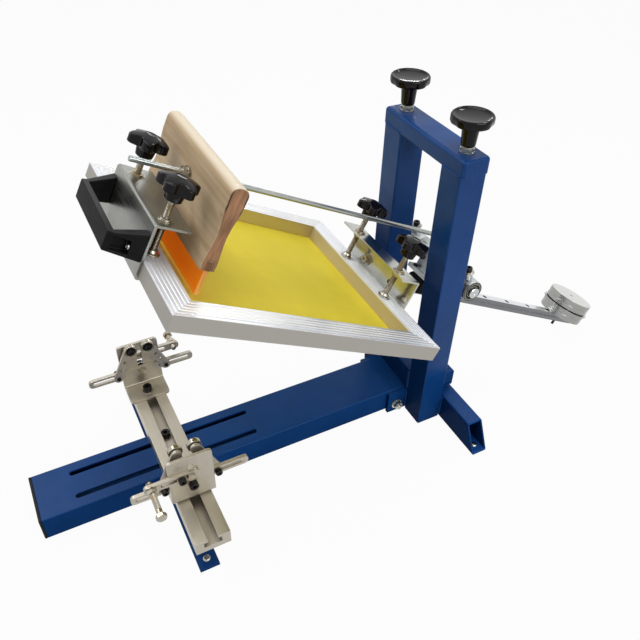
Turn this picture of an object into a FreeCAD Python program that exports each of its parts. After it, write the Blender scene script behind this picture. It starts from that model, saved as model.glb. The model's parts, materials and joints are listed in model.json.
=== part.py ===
import FreeCAD, Part
import math
import os

# Cylindrical screen printing machine for a workbench.
# Millimetres, +Z up. The origin lies on the underside of the rear foot, half way along it.
# -Y is the operator's end, +X is the operator's right.

# Base frame
BEAM_W = 80.0
BEAM_H = 40.0
BEAM_WALL = 3.0
BEAM_FRONT_LENGTH = 563.0
BEAM_SLOT_X = 20.5
BEAM_SLOT_W = 8.0
BEAM_SLOT_LENGTH = 265.0
BEAM_SLOT_FROM_FRONT = 48.0
CAP_T = 4.0
CAP_PLUG = 12.0
CAP_EDGE_R = 2.0
FRONT_FOOT_W = 27.0
FRONT_FOOT_T = 4.0
FRONT_FOOT_LENGTH = 352.0
FRONT_FOOT_HOLE_FROM_END = 14.0
FRONT_FOOT_FROM_POSTS = 383.5
REAR_FOOT_W = 26.0
REAR_FOOT_H = 47.0
REAR_FOOT_WALL = 2.5
REAR_FOOT_LENGTH = 354.0
REAR_FOOT_END_SLANT = 24.0
REAR_FOOT_HOLE_FROM_END = 15.0
FOOT_HOLE_R = 3.2
TUBE_CORNER_R = 2.5

# Posts and what joins them
POST_SIZE = 40.0
POST_WALL = 2.5
POST_GAP = 92.0
POST_H = 438.0
POST_SLOT_W = 20.0
POST_SLOT_SPARE = 8.0
TOP_BEAM_H = 22.0
TOP_BEAM_WALL = 3.0
TOP_BEAM_R = 5.0
TOP_BEAM_OVERHANG = 3.5
CROSSBAR_H = 40.0
CROSSBAR_WALL = 2.5
REAR_BAR_D = 25.0
REAR_BAR_H = 30.0
REAR_BAR_LENGTH = 150.0
REAR_BAR_Z = 52.0
EAR_LENGTH = 33.0
EAR_H = 40.0
EAR_Z = 1.5
EAR_BOLT_R = 4.2
EAR_BOLT_FROM_POSTS = 17.0
EAR_BOLT_Z = 17.0

# Height adjustment
SCREW_R = 5.0
SCREW_CLEARANCE = 0.1
SCREW_BELOW_SHAFT = 30.0
BUSHING_R = 9.5
BUSHING_H = 7.6
BUSHING_RUN_GAP = 0.3
KNOB_R = 26.0
KNOB_RIM_T = 12.5
KNOB_DISH = 3.0
KNOB_STEM_TOP_R = 11.0
KNOB_STEM_BOTTOM_R = 8.5
KNOB_STEM_H = 26.4
KNOB_EDGE_R = 3.0
HEIGHT_TRAVEL = 90.0
NUT_BLOCK_HALF = 12.0
NUT_BLOCK_H = 28.0
NECK_HALF = 5.0
HOUSING_R = 16.0
HOUSING_LENGTH = 38.0
HOUSING_IN_FROM_GAP = 2.0
HOUSING_POST_GAP = 5.0
HOUSING_BOSS_R = 7.0
HOUSING_BOSS_H = 8.0
BEARING_SEAT_R = 12.0
BEARING_SEAT_D = 2.0

# Pivot shaft and what swings on it
SHAFT_R = 8.0
SHAFT_CLEARANCE = 0.1
SHAFT_PROUD = 5.0
SHAFT_Z = 244.0
LIFT_DEG = 28.0
BLOCK_HALF_X = 22.0
BLOCK_HALF_S = 17.0
BLOCK_TOP = 13.0
BLOCK_EDGE_R = 4.0
ROD_HOLDER_HALF_X = 10.0
PLATE_HALF_X = 28.0
PLATE_T = 6.0
PLATE_FRONT = 27.0
PLATE_BACK = 43.0

# Linear slide
RAIL_W = 15.0
RAIL_H = 15.0
RAIL_BASE = -56.4
RAIL_TAIL = 405.0
RAIL_GROOVE_D = 2.2
RAIL_GROOVE_H = 5.0
RAIL_HOLE_PITCH = 60.0
RAIL_HOLE_R = 2.3
RAIL_SINK_R = 3.9
RAIL_SINK_D = 5.3
SLIDE_BLOCK_W = 34.0
SLIDE_BLOCK_LENGTH = 40.0
SLIDE_BLOCK_CENTRE = 5.0
SLIDE_BLOCK_TOP_ABOVE_BASE = 28.0
SLIDE_BLOCK_BASE_ABOVE_RAIL_BASE = 4.3
SLIDE_CAP_LENGTH = 10.7
SLIDE_CAP_INSET = 0.8
SLIDE_CAP_CHAMFER = 5.0
SLIDE_CLEARANCE = 0.4

# Screen
SCREEN_W = 330.0
SCREEN_L = 371.0
SCREEN_BAR_W = 30.0
SCREEN_BAR_H = 20.0
SCREEN_BAR_WALL = 2.0
SCREEN_TOP = -47.4
SCREEN_REAR = -103.3
SCREEN_GROOVES = 5
SCREEN_GROOVE_W = 1.2
SCREEN_GROOVE_D = 0.6
MESH_T = 0.5
MESH_INSET = 3.0

# Clamps that hold the screen
SHEET_T = 3.0
SHEET_BEND_R = 4.0
CLAMP_TOP = -5.6
CLAMP_LIP = 22.0
REAR_CLAMP_HALF_X = 78.0
REAR_CLAMP_FLANGE = 30.0
REAR_CLAMP_HOLE_X = 29.0
REAR_CLAMP_HOLE_H = -35.0
REAR_CLAMP_HOLE_R = 3.2
FRONT_CLAMP_HALF_X = 71.0
FRONT_CLAMP_FLANGE = 42.0
RAIL_MOUNT_HALF_X = 38.0
RAIL_MOUNT_LENGTH = 24.0
RAIL_MOUNT_H = 20.0
CLAMP_KNOB_X = 52.0
REAR_KNOB_INSET = 18.2
FRONT_KNOB_INSET = 13.8
CLAMP_SCREW_R = 4.0
CLAMP_SCREW_CLEARANCE = 0.1
CLAMP_PAD_R = 9.0
CLAMP_PAD_T = 4.0
CLAMP_PAD_GAP = 0.3
STAR_TOP = 43.5
STAR_T = 15.0
STAR_R = 23.5
STAR_LOBE_R = 7.5
STAR_LOBES = 5
STAR_CORE_R = 17.0
STAR_HUB_R = 11.0
STAR_HUB_H = 12.0

# Pull handle
HANDLE_BASE_HALF_X = 71.0
HANDLE_BASE_T = 13.0
HANDLE_BASE_H = 33.0
HANDLE_GRIP_HALF_X = 57.5
HANDLE_GRIP_T = 7.0
HANDLE_GRIP_H = 23.0
HANDLE_LEG_END_T = 5.5
HANDLE_DEPTH = 38.0
HANDLE_LOW = -51.0
HANDLE_POCKET_WALL = 3.5
HANDLE_POCKET_TO_CLAMP = 14.0

# Squeegee
ROD_R = 3.2
ROD_CLEARANCE = 0.1
ROD_H = 39.0
ROD_SLOPE_DEG = 1.2
ROD_BEFORE_WOOD = 77.0
ROD_BACK = 20.0
WOOD_HALF_X = 100.0
WOOD_BEHIND_SCREEN_FRONT = 54.3
WOOD_HALF_T = 10.5
WOOD_WAIST_HALF_T = 6.1
WOOD_FOOT_HALF_T = 9.0
WOOD_TOP = 64.4
WOOD_BOTTOM = -31.5
WOOD_WAIST_H = 10.0
BLADE_T = 6.0
BLADE_IN_WOOD = 12.0
BLADE_OVER_MESH = 5.5
BLADE_END_INSET = 1.0

# Counterweights
WEIGHT_R = 39.0
WEIGHT_T = 19.0
WEIGHT_RIM_R = 42.0
WEIGHT_RIM_T = 2.5
WEIGHT_GROOVE_D = 2.0
WEIGHT_GROOVE_W = 2.5
WEIGHT_FROM_TAIL = 39.0
WEIGHT_BOLT_R = 2.5

# Stand rail on the beam
STAND_RAIL_LENGTH = 353.0
STAND_RAIL_W = 47.0
STAND_RAIL_H = 23.0
STAND_RAIL_FROM_POSTS = 375.0
STAND_SLOT_W = 14.0
STAND_LIP_T = 5.0
STAND_CAVITY_W = 24.0
STAND_CAVITY_H = 9.0

# Roller stands
RIGHT_STAND_FROM_RAIL_END = 66.5
LEFT_STAND_FROM_RAIL_END = 49.5
STAND_W = 60.0
STAND_SHEET = 4.0
STAND_FOOT = 40.0
STAND_H = 84.0
STAND_CORNER_R = 6.0
STAND_SLOT_HALF = 4.0
STAND_SLOT_LOW = 24.0
STAND_SLOT_HIGH = 70.0
STAND_BOLT_R = 4.2
BAR_T = 5.0
BAR_H = 14.0
BAR_Z = 33.0
BAR_HALF_LENGTH = 79.0
BAR_SLOT_HALF = 3.0
BAR_SLOT_INNER = 26.0
BAR_SLOT_END = 6.0
ARM_T = 4.0
ARM_HALF_W = 7.0
ARM_LOW_Y = 36.0
ARM_HOLE_R = 2.5
ROLLER_R = 9.5
ROLLER_W = 6.0
ROLLER_BORE_R = 3.1
ROLLER_AXLE_R = 3.0
ROLLER_Y = 12.4
ROLLER_Z = 84.0
ROLLER_SIDE_GAP = 0.6
AXLE_HEAD_R = 5.0
AXLE_HEAD_T = 2.5
STOP_Z = 54.5
STOP_BAR_H = 13.0
STOP_BAR_INNER = 10.0
STOP_BAR_OUTER = 62.0
STOP_BOLT_Y = 53.0
STOP_BOLT_R = 4.0
STOP_BOLT_OUT = 44.0
STOP_BOLT_IN = 7.0
STOP_HEAD_R = 7.0
STOP_HEAD_T = 5.5
STOP_NUT_T = 6.5

# Places that follow from the sizes above
POST_REAR_Y = -REAR_FOOT_W / 2
POST_FRONT_Y = POST_REAR_Y - POST_SIZE
POST_MID_Y = POST_FRONT_Y + POST_SIZE / 2
POST_IN_X = POST_GAP / 2
POST_OUT_X = POST_IN_X + POST_SIZE
POST_MID_X = POST_IN_X + POST_SIZE / 2
BEAM_Z = FRONT_FOOT_T
BEAM_TOP = BEAM_Z + BEAM_H
BEAM_FRONT_Y = POST_FRONT_Y - BEAM_FRONT_LENGTH
GANTRY_TOP = POST_H + TOP_BEAM_H
KNOB_Z = GANTRY_TOP + BUSHING_H + BUSHING_RUN_GAP
SHAFT_Y = POST_REAR_Y + HOUSING_POST_GAP + HOUSING_R
HOUSING_IN_X = POST_IN_X - HOUSING_IN_FROM_GAP
HOUSING_OUT_X = HOUSING_IN_X + HOUSING_LENGTH
STAND_RAIL_Y = POST_FRONT_Y - STAND_RAIL_FROM_POSTS
STAND_RAIL_TOP = BEAM_TOP + STAND_RAIL_H
SCREEN_FRONT = SCREEN_REAR - SCREEN_L
WOOD_CENTRE = SCREEN_FRONT + WOOD_BEHIND_SCREEN_FRONT
ROD_FRONT = WOOD_CENTRE - ROD_BEFORE_WOOD
SCREEN_BOTTOM = SCREEN_TOP - SCREEN_BAR_H
MESH_BOTTOM = SCREEN_BOTTOM - MESH_T
RAIL_TOP = RAIL_BASE + RAIL_H
RAIL_HEAD = SCREEN_REAR + SHEET_T
SLIDE_TOP = RAIL_BASE + SLIDE_BLOCK_TOP_ABOVE_BASE
PLATE_TOP = SLIDE_TOP + PLATE_T
WEIGHT_S = RAIL_TAIL - WEIGHT_FROM_TAIL
REAR_KNOB_S = SCREEN_REAR - REAR_KNOB_INSET
FRONT_KNOB_S = SCREEN_FRONT + FRONT_KNOB_INSET
BLADE_BOTTOM = SCREEN_BOTTOM + BLADE_OVER_MESH


def box(x0, x1, y0, y1, z0, z1):
    return Part.makeBox(x1 - x0, y1 - y0, z1 - z0, FreeCAD.Vector(x0, y0, z0))


def rod(start, direction, radius, length):
    return Part.makeCylinder(radius, length, FreeCAD.Vector(*start), FreeCAD.Vector(*direction))


def hexagon_bar(start, direction, radius, length):
    """A six-sided bar whose corners lie on the radius."""
    corners = []
    for i in range(7):
        angle = math.radians(60 * i)
        corners.append(FreeCAD.Vector(radius * math.cos(angle), radius * math.sin(angle), 0))
    bar = Part.Face(Part.makePolygon(corners)).extrude(FreeCAD.Vector(0, 0, length))
    turn = FreeCAD.Rotation(FreeCAD.Vector(0, 0, 1), FreeCAD.Vector(*direction))
    bar.Placement = FreeCAD.Placement(FreeCAD.Vector(*start), turn)
    return bar


def prism(points, direction):
    """A closed outline of 3D points, pushed along a direction."""
    corners = [FreeCAD.Vector(*p) for p in points]
    corners.append(corners[0])
    return Part.Face(Part.makePolygon(corners)).extrude(FreeCAD.Vector(*direction))


def round_edges(shape, radius, wanted):
    """Round the edges for which wanted(edge) holds."""
    edges = [edge for edge in shape.Edges if wanted(edge)]
    return shape.makeFillet(radius, edges)


def runs_along(edge, axis):
    """True for a straight edge along an axis: 0 is X, 1 is Y, 2 is Z."""
    first = edge.Vertexes[0].Point
    last = edge.Vertexes[-1].Point
    span = last - first
    parts = [abs(span.x), abs(span.y), abs(span.z)]
    others = sum(parts) - parts[axis]
    return parts[axis] > 1e-6 and others < 1e-6


def long_tube(x0, x1, y0, y1, z0, z1, wall, axis):
    """A rectangular tube with rounded long edges, open at both ends."""
    outer = box(x0, x1, y0, y1, z0, z1)
    outer = round_edges(outer, TUBE_CORNER_R, lambda edge: runs_along(edge, axis))
    low = [x0 + wall, y0 + wall, z0 + wall]
    high = [x1 - wall, y1 - wall, z1 - wall]
    ends = ([x0, y0, z0], [x1, y1, z1])
    low[axis] = ends[0][axis]
    high[axis] = ends[1][axis]
    return outer.cut(box(low[0], high[0], low[1], high[1], low[2], high[2]))


def slot_cutter(centre, half_width, half_length, long_axis, through_axis, depth):
    """A slot with round ends, cut along one axis and centred on a point."""
    length_dir = [0, 0, 0]
    length_dir[long_axis] = 1
    through_dir = [0, 0, 0]
    through_dir[through_axis] = 1
    start = [centre[i] - depth / 2 * through_dir[i] for i in range(3)]
    run = half_length - half_width
    first = [start[i] - run * length_dir[i] for i in range(3)]
    last = [start[i] + run * length_dir[i] for i in range(3)]
    cross_axis = 3 - long_axis - through_axis
    low = list(first)
    high = [last[i] + depth * through_dir[i] for i in range(3)]
    low[cross_axis] -= half_width
    high[cross_axis] += half_width
    middle = box(low[0], high[0], low[1], high[1], low[2], high[2])
    ends = [rod(p, through_dir, half_width, depth) for p in (first, last)]
    return middle.fuse(ends)


def along_rod(shape):
    """Tips a shape drawn along the level rod to the rod's own slope, about its place over the shaft."""
    out = shape.copy()
    out.rotate(FreeCAD.Vector(0, 0, ROD_H), FreeCAD.Vector(1, 0, 0), ROD_SLOPE_DEG)
    return out


def lifted(shape):
    """Places a shape drawn about the pivot shaft, with Y rearward and Z off the screen."""
    out = shape.copy()
    out.rotate(FreeCAD.Vector(0, 0, 0), FreeCAD.Vector(1, 0, 0), -LIFT_DEG)
    out.translate(FreeCAD.Vector(0, SHAFT_Y, SHAFT_Z))
    return out


def mirrored(shape):
    return shape.mirror(FreeCAD.Vector(0, 0, 0), FreeCAD.Vector(1, 0, 0))


def save(name, shape):
    shape = shape.removeSplitter()
    solids = shape.Solids
    if len(solids) == 1:
        shape = solids[0]
    else:
        shape = Part.makeCompound(solids)
    shape.exportStep("parts/" + name + ".step")


# Main beam
def main_beam():
    half = BEAM_W / 2
    tube = long_tube(-half, half, BEAM_FRONT_Y, POST_REAR_Y, BEAM_Z, BEAM_TOP, BEAM_WALL, 1)
    slot_y = BEAM_FRONT_Y + BEAM_SLOT_FROM_FRONT + BEAM_SLOT_LENGTH / 2
    for side in (-1, 1):
        centre = (side * BEAM_SLOT_X, slot_y, BEAM_TOP)
        tube = tube.cut(slot_cutter(centre, BEAM_SLOT_W / 2, BEAM_SLOT_LENGTH / 2, 1, 2, 4 * BEAM_WALL))
    bolt_y = POST_FRONT_Y - EAR_BOLT_FROM_POSTS
    return tube.cut(rod((-half - 1, bolt_y, EAR_BOLT_Z), (1, 0, 0), EAR_BOLT_R, BEAM_W + 2))


def beam_end_cap():
    half = BEAM_W / 2
    plate = box(-half, half, BEAM_FRONT_Y - CAP_T, BEAM_FRONT_Y, BEAM_Z, BEAM_TOP)
    plate = round_edges(plate, CAP_EDGE_R, lambda edge: runs_along(edge, 1))
    inside = half - BEAM_WALL
    plug = box(-inside, inside, BEAM_FRONT_Y, BEAM_FRONT_Y + CAP_PLUG,
               BEAM_Z + BEAM_WALL, BEAM_TOP - BEAM_WALL)
    return plate.fuse(plug)


# Feet
def front_foot():
    y = POST_FRONT_Y - FRONT_FOOT_FROM_POSTS
    half_x = FRONT_FOOT_LENGTH / 2
    bar = box(-half_x, half_x, y - FRONT_FOOT_W / 2, y + FRONT_FOOT_W / 2, 0, FRONT_FOOT_T)
    hole_x = half_x - FRONT_FOOT_HOLE_FROM_END
    for side in (-1, 1):
        bar = bar.cut(rod((side * hole_x, y, -1), (0, 0, 1), FOOT_HOLE_R, FRONT_FOOT_T + 2))
    return bar


def rear_foot():
    half_y = REAR_FOOT_W / 2
    half_x = REAR_FOOT_LENGTH / 2
    hole_x = half_x - REAR_FOOT_HOLE_FROM_END
    tube = long_tube(-half_x, half_x, -half_y, half_y, 0, REAR_FOOT_H, REAR_FOOT_WALL, 0)
    for side in (-1, 1):
        wedge = prism([(side * half_x, -half_y, 0),
                       (side * (half_x - REAR_FOOT_END_SLANT), -half_y, REAR_FOOT_H),
                       (side * half_x, -half_y, REAR_FOOT_H)], (0, REAR_FOOT_W, 0))
        tube = tube.cut(wedge)
        hole = rod((side * hole_x, 0, -1), (0, 0, 1), FOOT_HOLE_R, REAR_FOOT_WALL + 2)
        tube = tube.cut(hole)
    return tube


# Gantry
def beam_ear():
    """The plate welded inside the right post, which the beam is bolted to."""
    ear = box(BEAM_W / 2, POST_IN_X, POST_FRONT_Y - EAR_LENGTH, POST_REAR_Y, EAR_Z, EAR_Z + EAR_H)
    bolt_y = POST_FRONT_Y - EAR_BOLT_FROM_POSTS
    return ear.cut(rod((0, bolt_y, EAR_BOLT_Z), (1, 0, 0), EAR_BOLT_R, POST_OUT_X))


def right_post():
    post = long_tube(POST_IN_X, POST_OUT_X, POST_FRONT_Y, POST_REAR_Y, 0, POST_H, POST_WALL, 2)
    low = SHAFT_Z - NUT_BLOCK_H / 2 - POST_SLOT_SPARE
    high = SHAFT_Z + HEIGHT_TRAVEL + NUT_BLOCK_H / 2 + POST_SLOT_SPARE
    slot = box(POST_MID_X - POST_SLOT_W / 2, POST_MID_X + POST_SLOT_W / 2,
               POST_REAR_Y - 2 * POST_WALL, POST_REAR_Y + 1, low, high)
    return post.cut(slot).fuse(beam_ear())


def top_beam():
    half = POST_OUT_X + TOP_BEAM_OVERHANG
    beam = box(-half, half, POST_FRONT_Y, POST_REAR_Y, POST_H, GANTRY_TOP)
    beam = round_edges(beam, TOP_BEAM_R, lambda edge: edge.CenterOfMass.z > POST_H + 1)
    wall = TOP_BEAM_WALL
    beam = beam.cut(box(-half + wall, half - wall, POST_FRONT_Y + wall, POST_REAR_Y - wall,
                        POST_H + wall, GANTRY_TOP - wall))
    for side in (-1, 1):
        hole = rod((side * POST_MID_X, POST_MID_Y, POST_H - 1), (0, 0, 1),
                   SCREW_R + SCREW_CLEARANCE, TOP_BEAM_H + 2)
        beam = beam.cut(hole)
    return beam


def crossbars():
    front = long_tube(-POST_IN_X, POST_IN_X, POST_FRONT_Y, POST_REAR_Y,
                      BEAM_TOP, BEAM_TOP + CROSSBAR_H, CROSSBAR_WALL, 0)
    half = REAR_BAR_LENGTH / 2
    rear = long_tube(-half, half, POST_REAR_Y, POST_REAR_Y + REAR_BAR_D,
                     REAR_BAR_Z, REAR_BAR_Z + REAR_BAR_H, CROSSBAR_WALL, 0)
    return Part.makeCompound([front, rear])


def screw_bushings():
    out = []
    for side in (-1, 1):
        start = (side * POST_MID_X, POST_MID_Y, GANTRY_TOP)
        nut = hexagon_bar(start, (0, 0, 1), BUSHING_R, BUSHING_H)
        out.append(nut.cut(rod(start, (0, 0, 1), SCREW_R + SCREW_CLEARANCE, BUSHING_H)))
    return Part.makeCompound(out)


# Height screws and the housings that they raise
def height_knob(side):
    """A dished disc knob moulded on its long screw."""
    stem_top = KNOB_Z + KNOB_STEM_H
    rim_top = stem_top + KNOB_RIM_T
    outline = [(0, KNOB_Z), (KNOB_STEM_BOTTOM_R, KNOB_Z), (KNOB_STEM_TOP_R, stem_top),
               (KNOB_R - KNOB_EDGE_R, stem_top), (KNOB_R, stem_top + KNOB_EDGE_R),
               (KNOB_R, rim_top - KNOB_EDGE_R), (KNOB_R - KNOB_EDGE_R, rim_top),
               (KNOB_R - 2 * KNOB_EDGE_R, rim_top), (0, rim_top - KNOB_DISH)]
    corners = [FreeCAD.Vector(r, 0, z) for r, z in outline]
    corners.append(corners[0])
    knob = Part.Face(Part.makePolygon(corners)).revolve(
        FreeCAD.Vector(0, 0, 0), FreeCAD.Vector(0, 0, 1), 360)
    low = SHAFT_Z - SCREW_BELOW_SHAFT
    knob = knob.fuse(rod((0, 0, low), (0, 0, 1), SCREW_R, KNOB_Z - low + 1))
    knob.translate(FreeCAD.Vector(side * POST_MID_X, POST_MID_Y, 0))
    return knob


def right_housing():
    barrel = rod((HOUSING_IN_X, SHAFT_Y, SHAFT_Z), (1, 0, 0), HOUSING_R, HOUSING_LENGTH)
    neck = box(POST_MID_X - NECK_HALF, POST_MID_X + NECK_HALF, POST_MID_Y, SHAFT_Y,
               SHAFT_Z - NUT_BLOCK_H / 2, SHAFT_Z + NUT_BLOCK_H / 2)
    block = box(POST_MID_X - NUT_BLOCK_HALF, POST_MID_X + NUT_BLOCK_HALF,
                POST_MID_Y - NUT_BLOCK_HALF, POST_MID_Y + NUT_BLOCK_HALF,
                SHAFT_Z - NUT_BLOCK_H / 2, SHAFT_Z + NUT_BLOCK_H / 2)
    boss = rod((POST_MID_X, SHAFT_Y, SHAFT_Z), (0, 0, 1), HOUSING_BOSS_R, HOUSING_R + HOUSING_BOSS_H)
    whole = barrel.fuse([neck, block, boss])
    bore = rod((HOUSING_IN_X - 1, SHAFT_Y, SHAFT_Z), (1, 0, 0), SHAFT_R + SHAFT_CLEARANCE,
               HOUSING_LENGTH + 2)
    seat = rod((HOUSING_OUT_X - BEARING_SEAT_D, SHAFT_Y, SHAFT_Z), (1, 0, 0), BEARING_SEAT_R,
               BEARING_SEAT_D + 1)
    thread = rod((POST_MID_X, POST_MID_Y, SHAFT_Z - NUT_BLOCK_H), (0, 0, 1),
                 SCREW_R + SCREW_CLEARANCE, 2 * NUT_BLOCK_H)
    return whole.cut(bore).cut(seat).cut(thread)


# Swinging unit
def pivot_shaft():
    end = HOUSING_OUT_X + SHAFT_PROUD
    shaft = rod((-end, 0, 0), (1, 0, 0), SHAFT_R, 2 * end)
    return lifted(shaft.makeChamfer(0.8, [e for e in shaft.Edges if len(e.Vertexes) == 1]))


def pivot_block():
    """The block clamped round the shaft, with the slide's plate below and the rod's holder above."""
    plate = box(-PLATE_HALF_X, PLATE_HALF_X, -PLATE_FRONT, PLATE_BACK, SLIDE_TOP, PLATE_TOP)
    plate = round_edges(plate, PLATE_T / 2, lambda edge: runs_along(edge, 2))
    block = box(-BLOCK_HALF_X, BLOCK_HALF_X, -BLOCK_HALF_S, BLOCK_HALF_S, PLATE_TOP, BLOCK_TOP)
    block = round_edges(block, BLOCK_EDGE_R,
                        lambda edge: runs_along(edge, 0) and edge.CenterOfMass.z > BLOCK_TOP - 1)
    holder = box(-ROD_HOLDER_HALF_X, ROD_HOLDER_HALF_X, -BLOCK_HALF_S, BLOCK_HALF_S, 0, ROD_H)
    cap = rod((0, -BLOCK_HALF_S, ROD_H), (0, 1, 0), ROD_HOLDER_HALF_X, 2 * BLOCK_HALF_S)
    whole = plate.fuse([block, holder, cap])
    whole = whole.cut(rod((-BLOCK_HALF_X - 1, 0, 0), (1, 0, 0), SHAFT_R, 2 * BLOCK_HALF_X + 2))
    bore = rod((0, -BLOCK_HALF_S - 2, ROD_H), (0, 1, 0), ROD_R + ROD_CLEARANCE, 2 * BLOCK_HALF_S + 4)
    return lifted(whole.cut(along_rod(bore)))


def rail_channel():
    """The room that the slide block leaves around the rail."""
    half = RAIL_W / 2 + SLIDE_CLEARANCE
    reach = SLIDE_BLOCK_LENGTH + 4 * SLIDE_CAP_LENGTH
    return box(-half, half, SLIDE_BLOCK_CENTRE - reach, SLIDE_BLOCK_CENTRE + reach,
               RAIL_BASE - 1, RAIL_TOP + SLIDE_CLEARANCE)


def slide_block():
    half = SLIDE_BLOCK_W / 2
    low = RAIL_BASE + SLIDE_BLOCK_BASE_ABOVE_RAIL_BASE
    start = SLIDE_BLOCK_CENTRE - SLIDE_BLOCK_LENGTH / 2
    block = box(-half, half, start, start + SLIDE_BLOCK_LENGTH, low, SLIDE_TOP)
    return lifted(block.cut(rail_channel()))


def slide_block_caps():
    half = SLIDE_BLOCK_W / 2 - SLIDE_CAP_INSET
    low = RAIL_BASE + SLIDE_BLOCK_BASE_ABOVE_RAIL_BASE + SLIDE_CAP_INSET
    high = SLIDE_TOP - SLIDE_CAP_INSET
    out = []
    for side in (-1, 1):
        face = SLIDE_BLOCK_CENTRE + side * SLIDE_BLOCK_LENGTH / 2
        ends = sorted((face, face + side * SLIDE_CAP_LENGTH))
        cap = box(-half, half, ends[0], ends[1], low, high)
        upper = [e for e in cap.Edges if runs_along(e, 1) and e.CenterOfMass.z > high - 1]
        cap = cap.makeChamfer(SLIDE_CAP_CHAMFER, upper)
        out.append(lifted(cap.cut(rail_channel())))
    return Part.makeCompound(out)


def squeegee_rod():
    bar = rod((0, ROD_FRONT, ROD_H), (0, 1, 0), ROD_R, ROD_BACK - ROD_FRONT)
    bar = bar.makeChamfer(0.6, [e for e in bar.Edges if len(e.Vertexes) == 1])
    return lifted(along_rod(bar))


def wood_outline():
    """Half widths of the handle from its foot to the start of its round top."""
    shoulder = WOOD_TOP - WOOD_HALF_T
    return [(WOOD_BOTTOM, WOOD_FOOT_HALF_T - 0.5), (WOOD_BOTTOM + 8, WOOD_FOOT_HALF_T),
            (WOOD_WAIST_H, WOOD_WAIST_HALF_T), (shoulder - 15, WOOD_HALF_T - 0.5), (shoulder, WOOD_HALF_T)]


def squeegee_handle():
    sides = []
    for side in (-1, 1):
        points = [FreeCAD.Vector(-WOOD_HALF_X, WOOD_CENTRE + side * half, h) for h, half in wood_outline()]
        curve = Part.BSplineCurve()
        curve.interpolate(points)
        sides.append(curve.toShape())
    left, right = sides
    top = Part.Arc(left.Vertexes[-1].Point, FreeCAD.Vector(-WOOD_HALF_X, WOOD_CENTRE, WOOD_TOP),
                   right.Vertexes[-1].Point).toShape()
    foot = Part.makeLine(right.Vertexes[0].Point, left.Vertexes[0].Point)
    wire = Part.Wire(Part.__sortEdges__([left, top, right, foot]))
    body = Part.Face(wire).extrude(FreeCAD.Vector(2 * WOOD_HALF_X, 0, 0))
    groove = box(-WOOD_HALF_X - 1, WOOD_HALF_X + 1, WOOD_CENTRE - BLADE_T / 2,
                 WOOD_CENTRE + BLADE_T / 2, WOOD_BOTTOM - 1, WOOD_BOTTOM + BLADE_IN_WOOD)
    hole = rod((0, WOOD_CENTRE - 2 * WOOD_HALF_T, ROD_H), (0, 1, 0), ROD_R + ROD_CLEARANCE,
               4 * WOOD_HALF_T)
    return lifted(body.cut(groove).cut(along_rod(hole)))


def squeegee_blade():
    half = WOOD_HALF_X - BLADE_END_INSET
    blade = box(-half, half, WOOD_CENTRE - BLADE_T / 2, WOOD_CENTRE + BLADE_T / 2,
                BLADE_BOTTOM, WOOD_BOTTOM + BLADE_IN_WOOD)
    return lifted(blade)


# Sliding unit: rail, clamps, screen and counterweights
def slide_rail():
    half = RAIL_W / 2
    rail = box(-half, half, RAIL_HEAD, RAIL_TAIL, RAIL_BASE, RAIL_TOP)
    middle = RAIL_BASE + RAIL_H * 0.6
    for side in (-1, 1):
        faces = sorted((side * half, side * (half - RAIL_GROOVE_D)))
        groove = box(faces[0], faces[1], RAIL_HEAD - 1, RAIL_TAIL + 1,
                     middle - RAIL_GROOVE_H / 2, middle + RAIL_GROOVE_H / 2)
        rail = rail.cut(groove)
    count = int((RAIL_TAIL - RAIL_HEAD) / RAIL_HOLE_PITCH)
    for i in range(count):
        s = RAIL_TAIL - RAIL_HOLE_PITCH * (i + 1) - RAIL_HOLE_PITCH / 3
        if s < RAIL_HEAD + RAIL_MOUNT_LENGTH:
            continue
        rail = rail.cut(rod((0, s, RAIL_BASE - 1), (0, 0, 1), RAIL_HOLE_R, RAIL_H + 2))
        rail = rail.cut(rod((0, s, RAIL_TOP - RAIL_SINK_D), (0, 0, 1), RAIL_SINK_R, RAIL_SINK_D + 1))
    rail = rail.cut(rod((0, WEIGHT_S, RAIL_BASE - 1), (0, 0, 1), WEIGHT_BOLT_R, RAIL_H + 2))
    return lifted(rail)


def rail_mount():
    block = box(-RAIL_MOUNT_HALF_X, RAIL_MOUNT_HALF_X, RAIL_HEAD, RAIL_HEAD + RAIL_MOUNT_LENGTH,
                RAIL_TOP, RAIL_TOP + RAIL_MOUNT_H)
    for side in (-1, 1):
        block = block.cut(rod((side * REAR_CLAMP_HOLE_X, RAIL_HEAD - 1, REAR_CLAMP_HOLE_H), (0, 1, 0),
                              REAR_CLAMP_HOLE_R - 0.5, RAIL_MOUNT_LENGTH + 2))
    return lifted(block)


def bent_clamp(web_face, outward, half_x, flange):
    """A sheet clamp: a flange over the screen bar, a web beside it and a lip beneath it."""
    back = web_face + outward * SHEET_T
    web = sorted((web_face, back))
    low = MESH_BOTTOM - SHEET_T
    reach = sorted((web_face - outward * (flange - SHEET_T), back))
    lip = sorted((web_face - outward * CLAMP_LIP, back))
    sheet = box(-half_x, half_x, web[0], web[1], low, CLAMP_TOP)
    top = box(-half_x, half_x, reach[0], reach[1], CLAMP_TOP - SHEET_T, CLAMP_TOP)
    bottom = box(-half_x, half_x, lip[0], lip[1], low, low + SHEET_T)
    whole = sheet.fuse([top, bottom]).removeSplitter()

    def outer_bend(edge):
        centre = edge.CenterOfMass
        at_back = abs(centre.y - back) < 0.01
        at_end = abs(centre.z - CLAMP_TOP) < 0.01 or abs(centre.z - low) < 0.01
        return runs_along(edge, 0) and at_back and at_end

    return round_edges(whole, SHEET_BEND_R - 1, outer_bend)


def cut_screw_holes(sheet, s):
    for side in (-1, 1):
        start = (side * CLAMP_KNOB_X, s, CLAMP_TOP - 2 * SHEET_T)
        sheet = sheet.cut(rod(start, (0, 0, 1), CLAMP_SCREW_R + CLAMP_SCREW_CLEARANCE, 4 * SHEET_T))
    return sheet


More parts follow.
